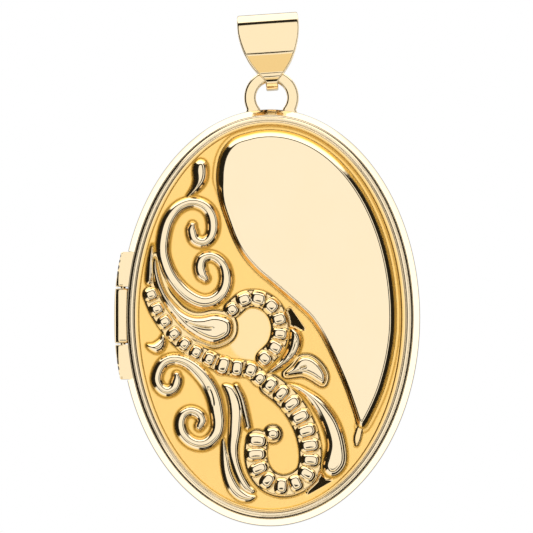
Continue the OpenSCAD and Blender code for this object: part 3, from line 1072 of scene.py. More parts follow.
@dataclass(frozen=True)
class Gold:
    """A gold finish: its colours, from the pale painted highlight of burnished crowns through satin
    gold to the painted shade of recesses, and how it is polished.
    """

    name: str
    bright_highlight: Colour = (0.83, 0.70, 0.49)
    satin: Colour = (0.93, 0.60, 0.20)
    recess_shade: Colour = (0.80, 0.42, 0.05)
    polish: float = 0.07
    ground: float = 0.42
    scratches: float = 0.25
    relief: float = 0.05
    toned: bool = False

    def material(self) -> bpy.types.Material:
        """Builds the material.

        Returns:
            A material whose colour and polish follow the tone stored on the mesh, if any, and else
            the mesh's pointiness; either way the colour holds painted highlight and painted shade.
        """
        made, graph, shader = new_finish(self.name)
        if self.toned:
            tone = graph.add("Attribute", attribute_name="tone").outputs["Fac"]
        else:
            # Without a stored tone, pointiness paints it: concave places take the deep colour of
            # painted shade, flat and rounded ones the pale colour of a painted highlight.
            edge = graph.add("NewGeometry").outputs["Pointiness"]
            tone = graph.ramp(edge, [(0.40, 0.9), (0.47, 0.0)])
        satin = graph.ramp(tone, [(0.2, 0.0), (0.45, 0.3), (0.62, 0.3), (0.85, 1.0)])
        wear = WearGroup.place(graph, {"Satin": satin, "Polish": self.polish,
                                       "Ground": self.ground, "Scratches": self.scratches})
        # The colour runs from the pale painted highlight through the satin gold to the painted shade
        # of recesses.
        mellow = graph.mix(graph.math("MULTIPLY", tone, 2.0), rgba(self.bright_highlight), rgba(self.satin))
        deep = graph.mix(graph.math("MULTIPLY", graph.math("SUBTRACT", tone, 0.5), 2.0),
                         mellow, rgba(self.recess_shade))
        bloom = graph.math("MULTIPLY", wear.outputs["Bloom"], 0.12)
        colour = graph.mix(bloom, deep, rgba(self.satin))
        bump = graph.add("Bump", {"Height": wear.outputs["Height"], "Strength": self.relief,
                                  "Distance": BUMP_DEPTH})
        graph.feed(shader, {"Metallic": 1.0, "Base Color": colour, "Normal": bump.outputs[0],
                            "Roughness": wear.outputs["Roughness"]})
        return made


@dataclass(frozen=True)
class Acetate:
    """The clear windows: thin acetate, faintly warm, with hairline scratches."""

    name: str = "window_acetate"
    tint: Colour = (1.0, 0.985, 0.95)
    polish: float = 0.03
    scratches: float = 0.4
    relief: float = 0.04
    ior: float = 1.48

    def material(self) -> bpy.types.Material:
        """Builds the material.

        Returns:
            A clear material that lets soft light and shadow rays straight through.
        """
        made, graph, shader = new_finish(self.name)
        wear = WearGroup.place(graph, {"Polish": self.polish, "Scratches": self.scratches})
        path = graph.add("LightPath")
        seen = graph.math("SUBTRACT", 1.0, graph.math(
            "MAXIMUM", path.outputs["Is Shadow Ray"], path.outputs["Is Diffuse Ray"]))
        bump = graph.add("Bump", {"Height": wear.outputs["Height"], "Strength": self.relief,
                                  "Distance": 0.02 * MM})
        graph.feed(shader, {"Base Color": rgba(self.tint), "Transmission Weight": 1.0,
                            "IOR": self.ior, "Alpha": seen, "Normal": bump.outputs[0],
                            "Roughness": wear.outputs["Roughness"]})
        return made


@dataclass(frozen=True)
class Card:
    """The blank picture cards: cream paper with loose fibres and faint age spots."""

    name: str = "picture_card_paper"
    paper: Colour = (0.80, 0.72, 0.56)
    fibre: Colour = (0.66, 0.56, 0.38)
    spot: Colour = (0.50, 0.34, 0.17)
    relief: float = 0.35

    def material(self) -> bpy.types.Material:
        """Builds the material.

        Returns:
            A matt material with fibres that also stand up a little.
        """
        made, graph, shader = new_finish(self.name)
        place = graph.add("TexCoord").outputs["Object"]
        run = graph.add("Mapping", {0: place, 2: (0, 0.7, 0), 3: (9000, 3000, 1400)})
        fibre = graph.add("TexNoise", {0: run.outputs[0], "Scale": 1.0, "Detail": 4.0,
                                       "Distortion": 1.2})
        cloud = graph.add("TexNoise", {0: place, "Scale": 420.0, "Detail": 5.0})
        spots = graph.add("TexVoronoi", {0: place, "Scale": 520.0})
        aged = graph.ramp(spots.outputs["Distance"], [(0.05, 0.55), (0.16, 0.0)])
        aged = graph.math("MULTIPLY", aged, graph.ramp(cloud.outputs[0], [(0.5, 0.0), (0.66, 1.0)]))
        colour = graph.mix(graph.ramp(fibre.outputs[0], [(0.42, 0.0), (0.7, 0.75)]),
                           rgba(self.paper), rgba(self.fibre))
        colour = graph.mix(aged, colour, rgba(self.spot))
        rough = graph.math("ADD", graph.math("MULTIPLY", cloud.outputs[0], 0.14), 0.76)
        bump = graph.add("Bump", {"Height": fibre.outputs[0], "Strength": self.relief,
                                  "Distance": BUMP_DEPTH})
        graph.feed(shader, {"Base Color": colour, "Roughness": rough, "Normal": bump.outputs[0]})
        return made


CASE_GOLD = Gold("case_gold_struck", toned=True)
FRAME_GOLD = Gold("case_gold_frames", bright_highlight=(0.86, 0.68, 0.40), polish=0.1, scratches=0.3)
FITTING_GOLD = Gold("fittings_gold_polished", bright_highlight=(0.83, 0.68, 0.44), scratches=0.35)


# --- Case -------------------------------------------------------------------------------


def store_tones(piece: bpy.types.Object, values: Array) -> None:
    """Stores the gold's tone on each point of a mesh: its polish, and the painted highlight or shade
    in its colour.
    """
    layer = piece.data.attributes.new("tone", "FLOAT", "POINT")
    layer.data.foreach_set("value", np.clip(values, 0, 1).astype(np.float32))


@dataclass
class FrontCover:
    """The front's struck sheet: a beaded border and the ornamented field.

    The field's skin is a grid, and block is the size in cells of the single faces that
    stand for its flat stretches. field_n is the field's outset, hidden under the border.
    """

    case: Case
    grid_step: float = 0.061
    block: int = 4
    segments: int = 288
    field_n: float = -1.42

    def border_section(self) -> tuple[Array, Array]:
        """The border's closed section.

        Returns:
            Its (outset, height) points and the tone at each.
        """
        top, floor = Case.FIELD_H, Case.FIELD_H - Case.SHEET
        # The third value is the tone: 0 on the border's crowns, polished with the pale colour of a
        # painted highlight, rising to 1 where it falls to the field, painted shade.
        skin = smooth_path((
            (-0.6, top - 0.2, 0.0), (-0.67, top - 0.175, 0.0), (-0.74, top - 0.15, 0.0),
            (-0.78, top - 0.07, 0.0), (-0.82, top - 0.015, 0.0), (-0.87, top, 0.0),
            (-0.96, top, 0.0), (-1.0, top - 0.008, 0.0), (-1.07, top - 0.035, 0.0),
            (-1.1, top + 0.015, 0.0), (-1.15, top + 0.045, 0.1), (-1.25, top + 0.06, 0.35),
            (-1.37, top + 0.06, 0.5), (-1.43, top + 0.045, 0.8), (-1.49, top + 0.01, 1.0),
            (-1.55, top - 0.03, 1.0), (-1.62, top - 0.06, 0.6),
        ), 3)
        under = np.array([(-1.62, floor, 0.5), (-0.93, floor, 0.5),
                          (-0.93, Case.LEDGE_H, 0.5), (-0.6, Case.LEDGE_H, 0.5)])
        section = np.concatenate([skin, under])
        return section[:, :2], section[:, 2]

    def build_border(self) -> tuple[Array, list, Array]:
        """Lofts the border round the oval.

        Returns:
            Its points, faces and tones.
        """
        section, tones = self.border_section()
        angles = np.linspace(0, 2 * math.pi, self.segments, endpoint=False)
        x, z = self.case.girth(section[:, 0], angles[:, None])
        points = self.case.place(x, z, section[:, 1][None, :])
        faces = [f[::-1] for f in loft_faces(self.segments, len(section), ring=True)]
        return points, faces, np.tile(tones, self.segments)

    def build_field(self) -> tuple[Array, list, Array]:
        """Builds the ornamented field's skin.

        Flat blocks of the grid become single faces, which keep every point of their edges
        that a finer neighbour uses.

        Returns:
            Its points, faces and tones.
        """
        relief = Relief(self.case.half_w + self.field_n, float(self.case.rise(self.field_n)),
                        self.grid_step)
        Ornament().strike(relief)
        faces = self.field_faces(relief)
        used = np.unique(np.fromiter((i for f in faces for i in f), int))
        index = np.full(relief.height.size, -1)
        index[used] = np.arange(len(used))
        gx, gz = np.meshgrid(relief.x, relief.z)
        points = self.case.place(gx.ravel()[used], gz.ravel()[used],
                                 Case.FIELD_H + relief.height.ravel()[used])
        faces = [[int(index[i]) for i in f] for f in faces]
        rim = edge_loop(faces)
        base = np.array(points[rim])
        base[:, 1] = (self.case.y - Case.FIELD_H + Case.SHEET) * MM
        start, count = len(points), len(rim)
        for i in range(count):
            k = (i + 1) % count
            faces.append([rim[k], rim[i], start + i, start + k])
        faces.append([start + i for i in range(count)])
        tones = relief.tone.ravel()[used]
        return (np.concatenate([points, base]), faces,
                np.concatenate([tones, np.full(count, Tone.SATIN.value)]))

    def field_faces(self, relief: Relief) -> list:
        """Chooses coarse faces over flat blocks and grid cells elsewhere.

        Args:
            relief: The struck height map.

        Returns:
            The faces, as point numbers of the whole grid.
        """
        nz, nx = relief.height.shape
        block = self.block
        gx, gz = np.meshgrid(relief.x, relief.z)
        within = np.hypot(gx / relief.half_w, gz / relief.half_h) < 1
        coarse = np.zeros(((nz - 1) // block, (nx - 1) // block), bool)
        for i in range(coarse.shape[0]):
            for j in range(coarse.shape[1]):
                part = (slice(i * block, (i + 1) * block + 1), slice(j * block, (j + 1) * block + 1))
                flat = np.ptp(relief.height[part]) < 1e-4 and np.ptp(relief.tone[part]) < 1e-3
                coarse[i, j] = flat and within[part].all()
        fine = np.ones((nz - 1, nx - 1), bool)
        for i, j in np.argwhere(coarse):
            fine[i * block:(i + 1) * block, j * block:(j + 1) * block] = False
        cells = fine & within[:-1, :-1] & within[1:, :-1] & within[:-1, 1:] & within[1:, 1:]
        faces = [[r * nx + c, r * nx + c + 1, (r + 1) * nx + c + 1, (r + 1) * nx + c]
                 for r, c in np.argwhere(cells).tolist()]
        for i, j in np.argwhere(coarse).tolist():
            faces.append(self.block_face(coarse, i, j, nx))
        return faces

    def block_face(self, coarse: Array, i: int, j: int, nx: int) -> list:
        """One flat block's face, with the edge points that fine neighbours share.

        Args:
            coarse: Which blocks are flat.
            i: The block's row.
            j: Its column.
            nx: Points in a row of the grid.

        Returns:
            The face's point numbers.
        """
        block = self.block
        r, c = i * block, j * block
        sides = (((-1, 0), [(r, c + k) for k in range(block)]),
                 ((0, 1), [(r + k, c + block) for k in range(block)]),
                 ((1, 0), [(r + block, c + block - k) for k in range(block)]),
                 ((0, -1), [(r + block - k, c) for k in range(block)]))
        face = []
        for (di, dj), run in sides:
            a, b = i + di, j + dj
            known = 0 <= a < coarse.shape[0] and 0 <= b < coarse.shape[1]
            kept = run[:1] if known and coarse[a, b] else run
            face.extend(p * nx + q for p, q in kept)
        return face

    def build(self, material: bpy.types.Material) -> None:
        """Makes the cover.

        Args:
            material: Its finish.
        """
        border, border_faces, border_tones = self.build_border()
        field, field_faces, field_tones = self.build_field()
        start = len(border)
        faces = border_faces + [[i + start for i in f] for f in field_faces]
        piece = make_piece("front_cover_struck", np.concatenate([border, field]), faces,
                           sharp_deg=60.0)
        store_tones(piece, np.concatenate([border_tones, field_tones]))
        dress(piece, "front_half", ("front_cover",), material)


@dataclass
class OvalPart:
    """A part that runs round the case's oval with a section of (outset, height) points.

    A plate's rings close in by REACH of the case's width, to its middle.
    """

    case: Case
    side: Side
    segments: int = 256

    REACH: ClassVar[float] = 0.98

    def sweep(self, sections: list, angles: Array, ring: bool = True) -> tuple[Array, list]:
        """Lofts sections round the oval.

        Args:
            sections: One section, or one for each angle.
            angles: The places round the oval, in radians.
            ring: True for a closed ring.

        Returns:
            The points and faces.
        """
        stack = np.array(sections, float)
        if stack.ndim == 2:
            stack = np.broadcast_to(stack, (len(angles), *stack.shape))
        x, z = self.case.girth(stack[..., 0], np.asarray(angles)[:, None])
        points = self.case.place(x, z, stack[..., 1], self.side)
        return points, loft_faces(len(angles), stack.shape[1], ring)

    def all_round(self) -> Array:
        """Even angles round the whole oval."""
        return np.linspace(0, 2 * math.pi, self.segments, endpoint=False)

    def plate(self, name: str, n: float, low: float, high: float, dome: float,
              bevel: float = 0.04) -> bpy.types.Object:
        """Makes a thin oval plate with softened edges and a slight dome.

        Args:
            name: The piece's name.
            n: Outset of its edge.
            low: Height of its inner face.
            high: Height of its outer face.
            dome: How far the middle of the inner face swells inwards, towards the seam.
            bevel: Width of its softened edge.

        Returns:
            The piece.
        """
        angles = self.all_round()[::2]
        edge = ((n - bevel, high), (n, high - bevel), (n, low + bevel), (n - bevel, low))
        rings = [(self.case.half_w + out, float(self.case.rise(out)), h) for out, h in edge]
        wide, tall = self.case.half_w + n, float(self.case.rise(n))
        for t in np.linspace(0.15, 1, 12):
            share = max(1 - self.REACH * self.case.half_w * t * t / wide, 0.0)
            rings.append((wide * share, tall * share, low - dome * (1 - share**2)))
        points = [self.case.place(x * np.cos(angles), z * np.sin(angles), h, self.side)
                  for x, z, h in rings]
        faces = loft_faces(len(rings), len(angles), ring=False)
        return make_piece(name, np.concatenate(points), faces)


@dataclass
class Rim(OvalPart):
    """A half's outer rim, notched on the left for the hinge.

    The notch is cut back to notch_in, and hollowed to bore_r round the pin.
    """

    inner: float = -0.8
    height: float = 2.1
    gap: float = 0.02
    notch_half: float = 4.98
    notch_z: float = 0.14
    notch_in: float = -0.5
    bore_r: float = 0.8

    def section(self) -> Array:
        """The rim's section.

        Returns:
            Its (outset, height) points.
        """
        top = self.height
        return rounded([
            (self.inner, self.gap), (0, self.gap, 0.05), (0, 0.35, 0.1), (-0.02, 0.8, 0.3),
            (-0.08, 1.25, 0.1), (-0.53, top - 0.05, 0.04), (-Case.SEAM, top - 0.03, 0.02),
            (-Case.SEAM, Case.LEDGE_H), (self.inner, Case.LEDGE_H),
        ], 0.01, 4)

    def notched(self, section: Array) -> Array:
        """Cuts the section back round the hinge's knuckles.

        Args:
            section: The rim's section.

        Returns:
            The section within the notch, with as many points.
        """
        pin, out = Case.PIN_N, []
        for n, h in section:
            n = min(n, self.notch_in)
            r = math.hypot(n - pin, h)
            if r < self.bore_r:
                n = pin + (n - pin) * self.bore_r / r
                h = h * self.bore_r / r
                if n < self.inner:
                    n, h = self.inner, math.sqrt(self.bore_r**2 - (self.inner - pin) ** 2)
            out.append((n, h))
        return np.array(out)

    def build(self, name: str, body: str, node: str, material: bpy.types.Material) -> None:
        """Makes the rim.

        Args:
            name: The new piece's name.
            body: The body that it rides on.
            node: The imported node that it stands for.
            material: Its finish.
        """
        ends = [math.pi - math.asin((self.notch_z + s * self.notch_half) / self.case.half_h)
                for s in (1, -1)]
        plain = self.section()
        cut = self.notched(plain)
        steps = self.all_round()
        run = [(a, plain) for a in steps if a < ends[0]]
        run += [(ends[0], plain), (ends[0], cut)]
        run += [(a, cut) for a in steps if ends[0] < a < ends[1]]
        run += [(ends[1], cut), (ends[1], plain)]
        run += [(a, plain) for a in steps if a > ends[1]]
        points, faces = self.sweep([part for _, part in run], np.array([a for a, _ in run]))
        piece = make_piece(name, points, faces, sharp_deg=30.0)
        # The whole rim takes the burnished tone: polished, with the pale colour of a painted
        # highlight.
        store_tones(piece, np.zeros(len(points)))
        dress(piece, body, (node,), material)


@dataclass
class BackCover(OvalPart):
    """The back's struck sheet: a plain beaded border round a flat polished panel."""

    rise: float = 0.2
    panel_n: float = -1.58
    under_tone: float = 0.3

    def build(self, material: bpy.types.Material) -> None:
        """Makes the cover.

        Args:
            material: Its finish.
        """
        top, floor = Case.FIELD_H, Case.FIELD_H - Case.SHEET
        # The third value is the tone: 0 on the beads' crowns, polished with the pale colour of a
        # painted highlight, and near 1 at the seam and in the groove between the beads, painted
        # shade.
        skin = smooth_path((
            (-0.6, top - 0.24, 0.9), (-0.66, top - 0.12, 0.3), (-0.76, top + 0.05, 0.1),
            (-0.84, top + 0.08, 0.0), (-0.92, top + 0.03, 0.1), (-1.0, top - 0.07, 0.9),
            (-1.06, top - 0.02, 0.4), (-1.15, top + 0.06, 0.1), (-1.3, top + self.rise - 0.05, 0.0),
            (-1.42, top + self.rise - 0.008, 0.0), (-1.6, top + self.rise, 0.0),
        ), 3)
        under = np.array([(-1.6, floor), (-0.93, floor), (-0.93, Case.LEDGE_H),
                          (-Case.SEAM, Case.LEDGE_H)])
        section = np.concatenate([skin[:, :2], under])
        tones = np.concatenate([skin[:, 2], np.full(len(under), self.under_tone)])
        angles = self.all_round()
        points, faces = self.sweep(section, angles)
        count = len(angles)
        panel = []
        for height in (top + self.rise, floor):
            x, z = self.case.girth(self.panel_n, angles)
            panel.append(self.case.place(x, z, height, self.side))
        start = len(points)
        faces.append([start + i for i in range(count)])
        faces.append([start + count + i for i in range(count)])
        faces += [[start + i, start + (i + 1) % count, start + count + (i + 1) % count,
                   start + count + i] for i in range(count)]
        piece = make_piece("back_cover_struck", np.concatenate([points, *panel]), faces,
                           sharp_deg=40.0)
        # The flat panel takes the burnished tone: polished, with the pale colour of a painted
        # highlight.
        store_tones(piece, np.concatenate([np.tile(tones, count), np.zeros(2 * count)]))
        dress(piece, "back_half", ("back_cover",), material)


@dataclass
class Inside(OvalPart):
    """What one half holds: a picture frame, a clear window and a card."""

    frame_out: float = -1.35
    frame_in: float = -2.15
    frame_low: float = 0.25
    pane_n: float = -0.95
    window_t: float = 0.27
    card_t: float = 0.18

    def frame_section(self) -> Array:
        """The picture frame's section: a rounded face with a fine step along its inner edge.

        Returns:
            Its (outset, height) points.
        """
        low, top = self.frame_low, Case.LEDGE_H
        return rounded([
            (self.frame_out, low, 0.08), (self.frame_out, top - 0.2), (-0.8, top - 0.2),
            (-0.8, top), (self.frame_in, top), (self.frame_in, low + 0.22, 0.05),
            (self.frame_in + 0.16, low + 0.14, 0.05), (self.frame_in + 0.2, low, 0.08),
        ], 0.015, 4)

    def build(self, finishes: dict[str, bpy.types.Material]) -> None:
        """Makes the frame, window and card of this half.

        Args:
            finishes: The materials, by the names frame, window and card.
        """
        half = "front" if self.side is Side.FRONT else "back"
        body = half + "_half"
        points, faces = self.sweep(self.frame_section(), self.all_round())
        frame = make_piece(half + "_picture_frame", points, faces, sharp_deg=30.0)
        dress(frame, body, (half + "_frame",), finishes["frame"])
        window_top = Case.LEDGE_H + self.window_t
        window = self.plate(half + "_clear_window", self.pane_n, Case.LEDGE_H,
                            window_top, dome=0.04)
        dress(window, body, (half + "_window",), finishes["window"])
        card = self.plate(half + "_picture_card", self.pane_n, window_top,
                          window_top + self.card_t, dome=-0.02, bevel=0.02)
        dress(card, body, (half + "_card",), finishes["card"])


@dataclass
class SnapLip(OvalPart):
    """The lip round the back half that the front closes over, open at the hinge."""

    inner: float = -1.1
    outer: float = -0.8
    low: float = -0.6
    high: float = 1.15
    bead: float = 0.03
    gap_half: float = 5.88

    def build(self, material: bpy.types.Material) -> None:
        """Makes the lip.

        Args:
            material: Its finish.
        """
        end = math.pi - math.asin(self.gap_half / (self.case.half_h + self.outer))
        section = rounded([
            (self.inner, self.low, 0.08), (self.outer - self.bead, self.low, 0.08),
            (self.outer, self.low + 0.28, 0.2), (self.outer, self.high), (self.inner, self.high),
        ], 0.01, 4)
        points, faces = self.sweep(section, np.linspace(-end, end, self.segments), ring=False)
        piece = make_piece("snap_lip_band", points, faces, sharp_deg=30.0)
        dress(piece, "back_half", ("snap_lip",), material)


# --- Hinge, loop and bail ---------------------------------------------------------------


@dataclass
class Hinge:
    """The three knuckles on the left, filed to the line of the case.

    CHAMFER gives a knuckle's end rings: the share of the bevel's length along the knuckle,
    and the share of its depth. SHARP sets how crisply round, filed and flat sides meet.
    """

    case: Case
    knuckle_r: float = 0.7
    file_out: float = 0.5
    face_h: float = 0.59
    bore_r: float = 0.21
    bevel: float = 0.07
    around: int = 56
    along: int = 18

    CHAMFER: ClassVar[tuple] = ((0.0, 1.0), (0.45, 0.3), (1.0, 0.0))
    SHARP: ClassVar[float] = 20.0

    def pin_x(self) -> float:
        """The pin's place across the case."""
        return -(self.case.half_w + Case.PIN_N)

    def radius(self, z: float, angle: Array) -> Array:
        """The knuckle's radius about the pin, filed on its outer side and flat on its faces.

        Args:
            z: Height above the case's middle.
            angle: Directions about the pin, in radians.

        Returns:
            The radius in each direction.
        """
        wide, high = self.case.half_w + self.file_out, self.case.half_h + self.file_out
        limit = wide * math.sqrt(1 - (z / high) ** 2) + self.pin_x()
        outward = -np.cos(angle)
        filed = np.where(outward > 0.02, limit / np.maximum(outward, 0.02), np.inf)
        flat = self.face_h / np.maximum(np.abs(np.sin(angle)), 0.1)
        return (self.knuckle_r**-self.SHARP + np.minimum(filed, 5.0) ** -self.SHARP
                + flat**-self.SHARP) ** (-1 / self.SHARP)

    def knuckle(self, name: str, node: str, body: str, material: bpy.types.Material,
                open_ends: tuple[bool, bool]) -> None:
        """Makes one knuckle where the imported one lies.

        Args:
            name: The new piece's name.
            node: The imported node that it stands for.
            body: The body that it rides on.
            material: Its finish.
            open_ends: Whether the pin's bore shows in its lower and upper end.
        """
        low, high = (corner[2] / MM - self.case.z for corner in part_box(node))
        angle = np.linspace(0, 2 * math.pi, self.around, endpoint=False)
        middle = np.linspace(low + self.bevel, high - self.bevel, self.along)[1:-1]
        cuts = [(low + self.bevel * along, depth) for along, depth in self.CHAMFER]
        cuts += [(z, 0.0) for z in middle]
        cuts += [(high - self.bevel * along, depth) for along, depth in self.CHAMFER[::-1]]
        rows = [(z, self.radius(z, angle) - self.bevel * depth) for z, depth in cuts]
        bore = np.full(self.around, self.bore_r)
        if open_ends[0]:
            rows = [(low + 0.3, bore * 0.98), (low + 0.04, bore), (low, bore * 1.15)] + rows
        if open_ends[1]:
            rows += [(high, bore * 1.15), (high - 0.04, bore), (high - 0.3, bore * 0.98)]
        points = np.concatenate([
            self.case.place(self.pin_x() + r * np.cos(angle), z, r * np.sin(angle))
            for z, r in rows])
        piece = make_piece(name, points, loft_faces(len(rows), self.around, ring=False),
                           sharp_deg=32.0)
        dress(piece, body, (node,), material)

    def build(self, material: bpy.types.Material) -> None:
        """Makes the three knuckles.

        Args:
            material: Their finish.
        """
        self.knuckle("knuckle_of_back", "hinge_knuckle_middle", "back_half", material, (True, True))
        self.knuckle("knuckle_of_front_top", "hinge_knuckle_top", "front_half", material,
                     (True, False))
        self.knuckle("knuckle_of_front_bottom", "hinge_knuckle_bottom", "front_half", material,
                     (False, True))


@dataclass
class HangingLoop:
    """The flat wire loop, its feet spread where they are soldered to the back's rim."""

    case: Case
    outer_r: float = 2.1
    inner_r: float = 1.2
    thick: float = 0.8
    bevel: float = 0.2
    steps: int = 72

    FOOT_OUT: ClassVar[tuple] = ((1.92, -1.0), (2.0, -1.15), (2.06, -1.3))
    FOOT_IN: ClassVar[tuple] = ((0.85, -0.92), (0.82, -1.05), (0.74, -1.3))

    def outline(self, radius: float, first_deg: float, last_deg: float, foot: tuple) -> Array:
        """One edge of the wire: a foot, an arc, and the other foot.

        Args:
            radius: The arc's radius.
            first_deg: Where the arc starts, on the left.
            last_deg: Where it ends, on the right.
            foot: The right foot's points, going down.

        Returns:
            The edge's (x, z) points about the loop's middle.
        """
        sweep = np.radians(np.linspace(first_deg, last_deg, self.steps))
        arc = radius * np.stack([np.cos(sweep), np.sin(sweep)], axis=1)
        right = np.array(foot)
        return np.concatenate([right[::-1] * (-1, 1), arc, right])

    def edges(self, centre: tuple[float, float]) -> tuple[Array, Array]:
        """The loop's outer and inner outlines from its left foot round to its right.

        Args:
            centre: The loop's middle, x and z in the frame, in millimetres.

        Returns:
            The two outlines.
        """
        outer = self.outline(self.outer_r, 205, -25, self.FOOT_OUT)
        inner = self.outline(self.inner_r, 222, -42, self.FOOT_IN)
        return outer + centre, inner + centre

    def build(self, material: bpy.types.Material) -> None:
        """Makes the loop.

        Args:
            material: Its finish.
        """
        low, high = (np.array(c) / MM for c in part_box("hanging_loop"))
        centre = ((low[0] + high[0]) / 2, high[2] - self.outer_r)
        middle_y = (low[1] + high[1]) / 2
        outer, inner = self.edges(centre)
        half, wide = self.thick / 2, self.outer_r - self.inner_r
        ring = rounded([(0, -half), (wide, -half), (wide, half), (0, half)], self.bevel, 5)
        share = ring[:, :1] / wide
        rows = []
        for a, c in zip(outer, inner):
            flat = a * (1 - share) + c * share
            rows.append(np.stack([flat[:, 0], middle_y + ring[:, 1], flat[:, 1]], axis=1))
        points = np.concatenate(rows) * MM
        piece = make_piece("hanging_loop_wire", points,
                           loft_faces(len(rows), len(ring), ring=False), sharp_deg=30.0)
        dress(piece, "back_half", ("hanging_loop",), material)


@dataclass
class Bail:
    """The folded strip that the chain runs through, leaning a little on the loop.

    Heights are from the middle of the loop's wire. WIDTHS gives the strip's half-width at
    each height, and STEP_LENGTH is the longest stretch between two of its sections.
    """

    wire: tuple[float, float, float]
    lean: float
    strip: float = 0.36
    depth: float = 2.9
    rise: float = 4.8
    low_r: float = 1.12
    bend_z: float = 1.7
    bend_r: float = 1.6
    corner_r: float = 1.15
    bevel: float = 0.13

    STEP_LENGTH: ClassVar[float] = 0.2
    WIDTHS: ClassVar[tuple] = (
        (-1.6, 0.475), (-0.6, 0.475), (-0.3, 0.56), (0.05, 0.84), (0.5, 1.2), (1.1, 1.6),
        (1.7, 1.88), (2.2, 2.08), (3.2, 2.32), (4.1, 2.36), (4.8, 2.28),
    )

    @classmethod
    def from_frame(cls, frame: dict) -> "Bail":
        """Places the bail on the loop's wire, along the axis of the chain's channel.


        Returns:
            The bail.
        """
        swing = next(j for j in frame["joints"] if j["name"] == "case_swing")
        channel = next(m for m in frame["record"]["mounts"] if m["name"] == "chain_channel")
        axis = channel["axis"]
        return cls(wire=tuple(c / MM for c in swing["pos_m"]), lean=math.atan2(axis[2], axis[0]))

    def side_line(self) -> Array:
        """The middle of the strip as seen from the side.

        Returns:
            Its (y, z) points from the loop's wire.
        """
        t = self.strip / 2
        half, top, low = self.depth / 2 - t, self.rise - t, self.low_r - t
        tilt = math.atan2(half - low, self.bend_z)
        sweep = np.linspace(math.pi - tilt, 2 * math.pi + tilt, 33)
        bottom = np.stack([low * np.cos(sweep), low * np.sin(sweep)], axis=1)
        corners = [(half, self.bend_z, self.bend_r), (half, top, self.corner_r - t),
                   (-half, top, self.corner_r - t), (-half, self.bend_z, self.bend_r)]
        ends = [tuple(p) for p in bottom]
        upper = rounded(ends[-2:] + corners + ends[:2], 0.0, 12)[2:-2]
        dense = []
        whole = np.concatenate([bottom, upper])
        for a, b in zip(whole, np.roll(whole, -1, axis=0)):
            parts = max(1, math.ceil(np.linalg.norm(b - a) / self.STEP_LENGTH))
            dense += [a + (b - a) * k / parts for k in range(parts)]
        return np.array(dense)

    def build(self, material: bpy.types.Material) -> None:
        """Makes the bail.

        Args:
            material: Its finish.
        """
        line = self.side_line()
        ahead = np.roll(line, -1, axis=0) - np.roll(line, 1, axis=0)
        ahead /= np.linalg.norm(ahead, axis=1)[:, None]
        out = np.stack([ahead[:, 1], -ahead[:, 0]], axis=1)
        widths = smooth_path(self.WIDTHS, 6)
        t = self.strip / 2
        rows = []
        for (y, z), (oy, oz) in zip(line, out):
            half = np.interp(z, widths[:, 0], widths[:, 1])
            ring = rounded([(-half, -t), (half, -t), (half, t), (-half, t)], self.bevel, 5)
            rows.append(np.stack([ring[:, 0], y + oy * ring[:, 1], z + oz * ring[:, 1]], axis=1))
        points = np.concatenate(rows)
        cos, sin = math.cos(self.lean), math.sin(self.lean)
        x = points[:, 0] * cos - points[:, 2] * sin + self.wire[0]
        z = points[:, 0] * sin + points[:, 2] * cos + self.wire[2]
        placed = np.stack([x, points[:, 1] + self.wire[1], z], axis=1) * MM
        piece = make_piece("bail_strip", placed, loft_faces(len(rows), len(rows[0]), ring=True),
                           sharp_deg=30.0)
        dress(piece, "bail", ("bail",), material)


# --- Studio -----------------------------------------------------------------------------


WARM = (1.0, 0.9, 0.66)
AMBER = (1.0, 0.85, 0.55)


@dataclass(frozen=True)
class Patch:
    """A stretch of the tent, in degrees, with its brightness.

    off is measured from straight in front, turn anticlockwise from the right as seen from
    the front, and lift upwards from the horizon. soft is the width of its fading edge.
    """

    level: float
    tint: Colour = (1.0, 1.0, 1.0)
    off: Point | None = None
    turn: Point | None = None
    lift: Point | None = None
    soft: float = 4.0


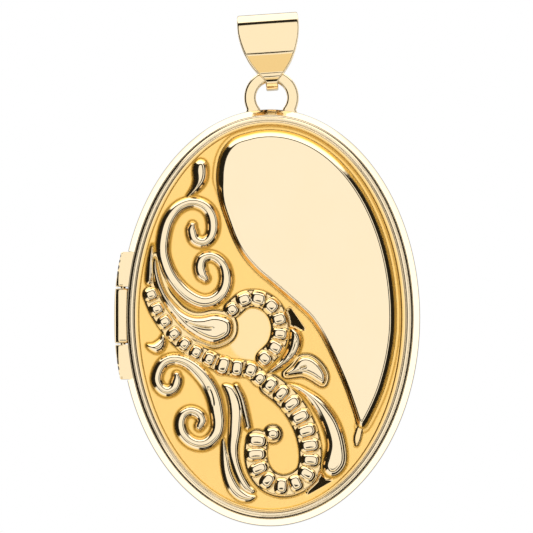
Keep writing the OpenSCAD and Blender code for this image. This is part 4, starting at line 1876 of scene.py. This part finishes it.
@dataclass(frozen=True)
class Studio:
    """A white tent with dark cards in it, a pale floor and the camera."""

    target: tuple[float, float, float] = (-0.15, -3.0, -18.1)
    distance: float = 500.0
    elevation_deg: float = -2.2
    view_width: float = 40.72
    sensor: float = 36.0
    floor_z: float = -300.0
    floor_half: float = 6000.0
    paper: Colour = (0.94, 0.94, 0.93)
    tent: float = 1.22
    patches: tuple = (
        Patch(1.75, off=(98, 127), soft=5.0),
        Patch(0.92, off=(127, 150), soft=5.0),
        Patch(0.5, off=(149, 181), soft=5.0),
        Patch(0.02, WARM, off=(26, 47), soft=3.0),
        Patch(0.02, WARM, off=(46, 108), turn=(98, 209), soft=6.0),
        Patch(0.02, WARM, off=(64, 90), turn=(-96, 50), soft=4.0),
        Patch(1.9, off=(47, 147), lift=(42, 91), soft=5.0),
        Patch(0.03, WARM, off=(0, 12), lift=(-12, -5), turn=(-180, 0), soft=1.5),
        Patch(1.1, AMBER, off=(0, 36), lift=(-31, -18), turn=(-125, -55), soft=2.0),
    )

    def camera(self) -> None:
        """Adds the camera."""
        data = bpy.data.cameras.new("camera")
        data.sensor_width = self.sensor
        data.lens = self.sensor * self.distance / self.view_width
        data.clip_start, data.clip_end = 0.01, 20
        camera = bpy.data.objects.new("camera", data)
        bpy.context.scene.collection.objects.link(camera)
        lift = math.radians(self.elevation_deg)
        back = Vector((0, -math.cos(lift), math.sin(lift)))
        camera.location = (Vector(self.target) + back * self.distance) * MM
        camera.rotation_mode = "QUATERNION"
        camera.rotation_quaternion = (-back).to_track_quat("-Z", "Y")
        bpy.context.scene.camera = camera

    def floor(self) -> None:
        """Adds the pale floor."""
        corners = [(-1, -1), (1, -1), (1, 1), (-1, 1)]
        points = np.array([(x * self.floor_half, y * self.floor_half, self.floor_z)
                           for x, y in corners])
        piece = make_piece("floor", points * MM, [[0, 1, 2, 3]])
        made, graph, shader = new_finish("floor_paper")
        graph.feed(shader, {"Base Color": rgba(self.paper), "Roughness": 0.9})
        piece.data.materials.append(made)
        piece.visible_glossy = False

    def world(self) -> None:
        """Lights the scene with the tent; seen directly it is plain white."""
        world = bpy.data.worlds.new("tent")
        bpy.context.scene.world = world
        world.use_nodes = True
        graph = Graph(world.node_tree)
        x, y, z = graph.add("SeparateXYZ", {0: graph.add("TexCoord").outputs["Generated"]}).outputs
        degrees = math.degrees(1)
        ahead = graph.math("MULTIPLY", y, -1.0)
        off = graph.math("MULTIPLY", graph.math("ARCCOSINE", ahead), degrees)
        lift = graph.math("MULTIPLY", graph.math("ARCSINE", z), degrees)
        turn = graph.math("MULTIPLY", graph.math("ARCTAN2", z, x), degrees)
        turn_on = graph.math("FLOORED_MODULO", turn, 360.0)
        shade = rgba((self.tent,) * 3)
        for patch in self.patches:
            share = 1.0
            spans = [(off, patch.off), (lift, patch.lift)]
            if patch.turn:
                spans.append((turn_on if patch.turn[1] > 180 else turn, patch.turn))
            for value, span in spans:
                if span:
                    share = graph.math("MULTIPLY", share, graph.within(value, span, patch.soft))
            shade = graph.mix(share, shade, rgba(tuple(patch.level * c for c in patch.tint)))
        shown = graph.mix(graph.add("LightPath").outputs["Is Camera Ray"], shade, rgba((1, 1, 1)))
        graph.feed(world.node_tree.nodes["Background"], {"Color": shown})

    def set_up(self) -> None:
        """Adds the camera, floor and light."""
        self.camera()
        self.floor()
        self.world()
        bpy.context.scene.view_settings.view_transform = "Standard"


def main() -> None:
    """Builds every sub-assembly in order."""
    logging.basicConfig(level=logging.INFO, format="%(name)s %(message)s")
    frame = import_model()
    case = Case.from_frame()
    log.info("case: %s", case)
    Studio().set_up()
    gold, fitting, plain = CASE_GOLD.material(), FITTING_GOLD.material(), FRAME_GOLD.material()
    finishes = {"frame": plain, "window": Acetate().material(), "card": Card().material()}
    dress_packed(fitting)
    FrontCover(case).build(gold)
    Rim(case, Side.FRONT, inner=-0.75).build("front_rim_band", "front_half", "front_rim", gold)
    Rim(case, Side.BACK).build("back_rim_band", "back_half", "back_rim", gold)
    BackCover(case, Side.BACK).build(gold)
    SnapLip(case, Side.BACK).build(fitting)
    for side in Side:
        Inside(case, side).build(finishes)
    Hinge(case).build(fitting)
    HangingLoop(case).build(fitting)
    Bail.from_frame(frame).build(fitting)


if __name__ == "__main__":
    main()
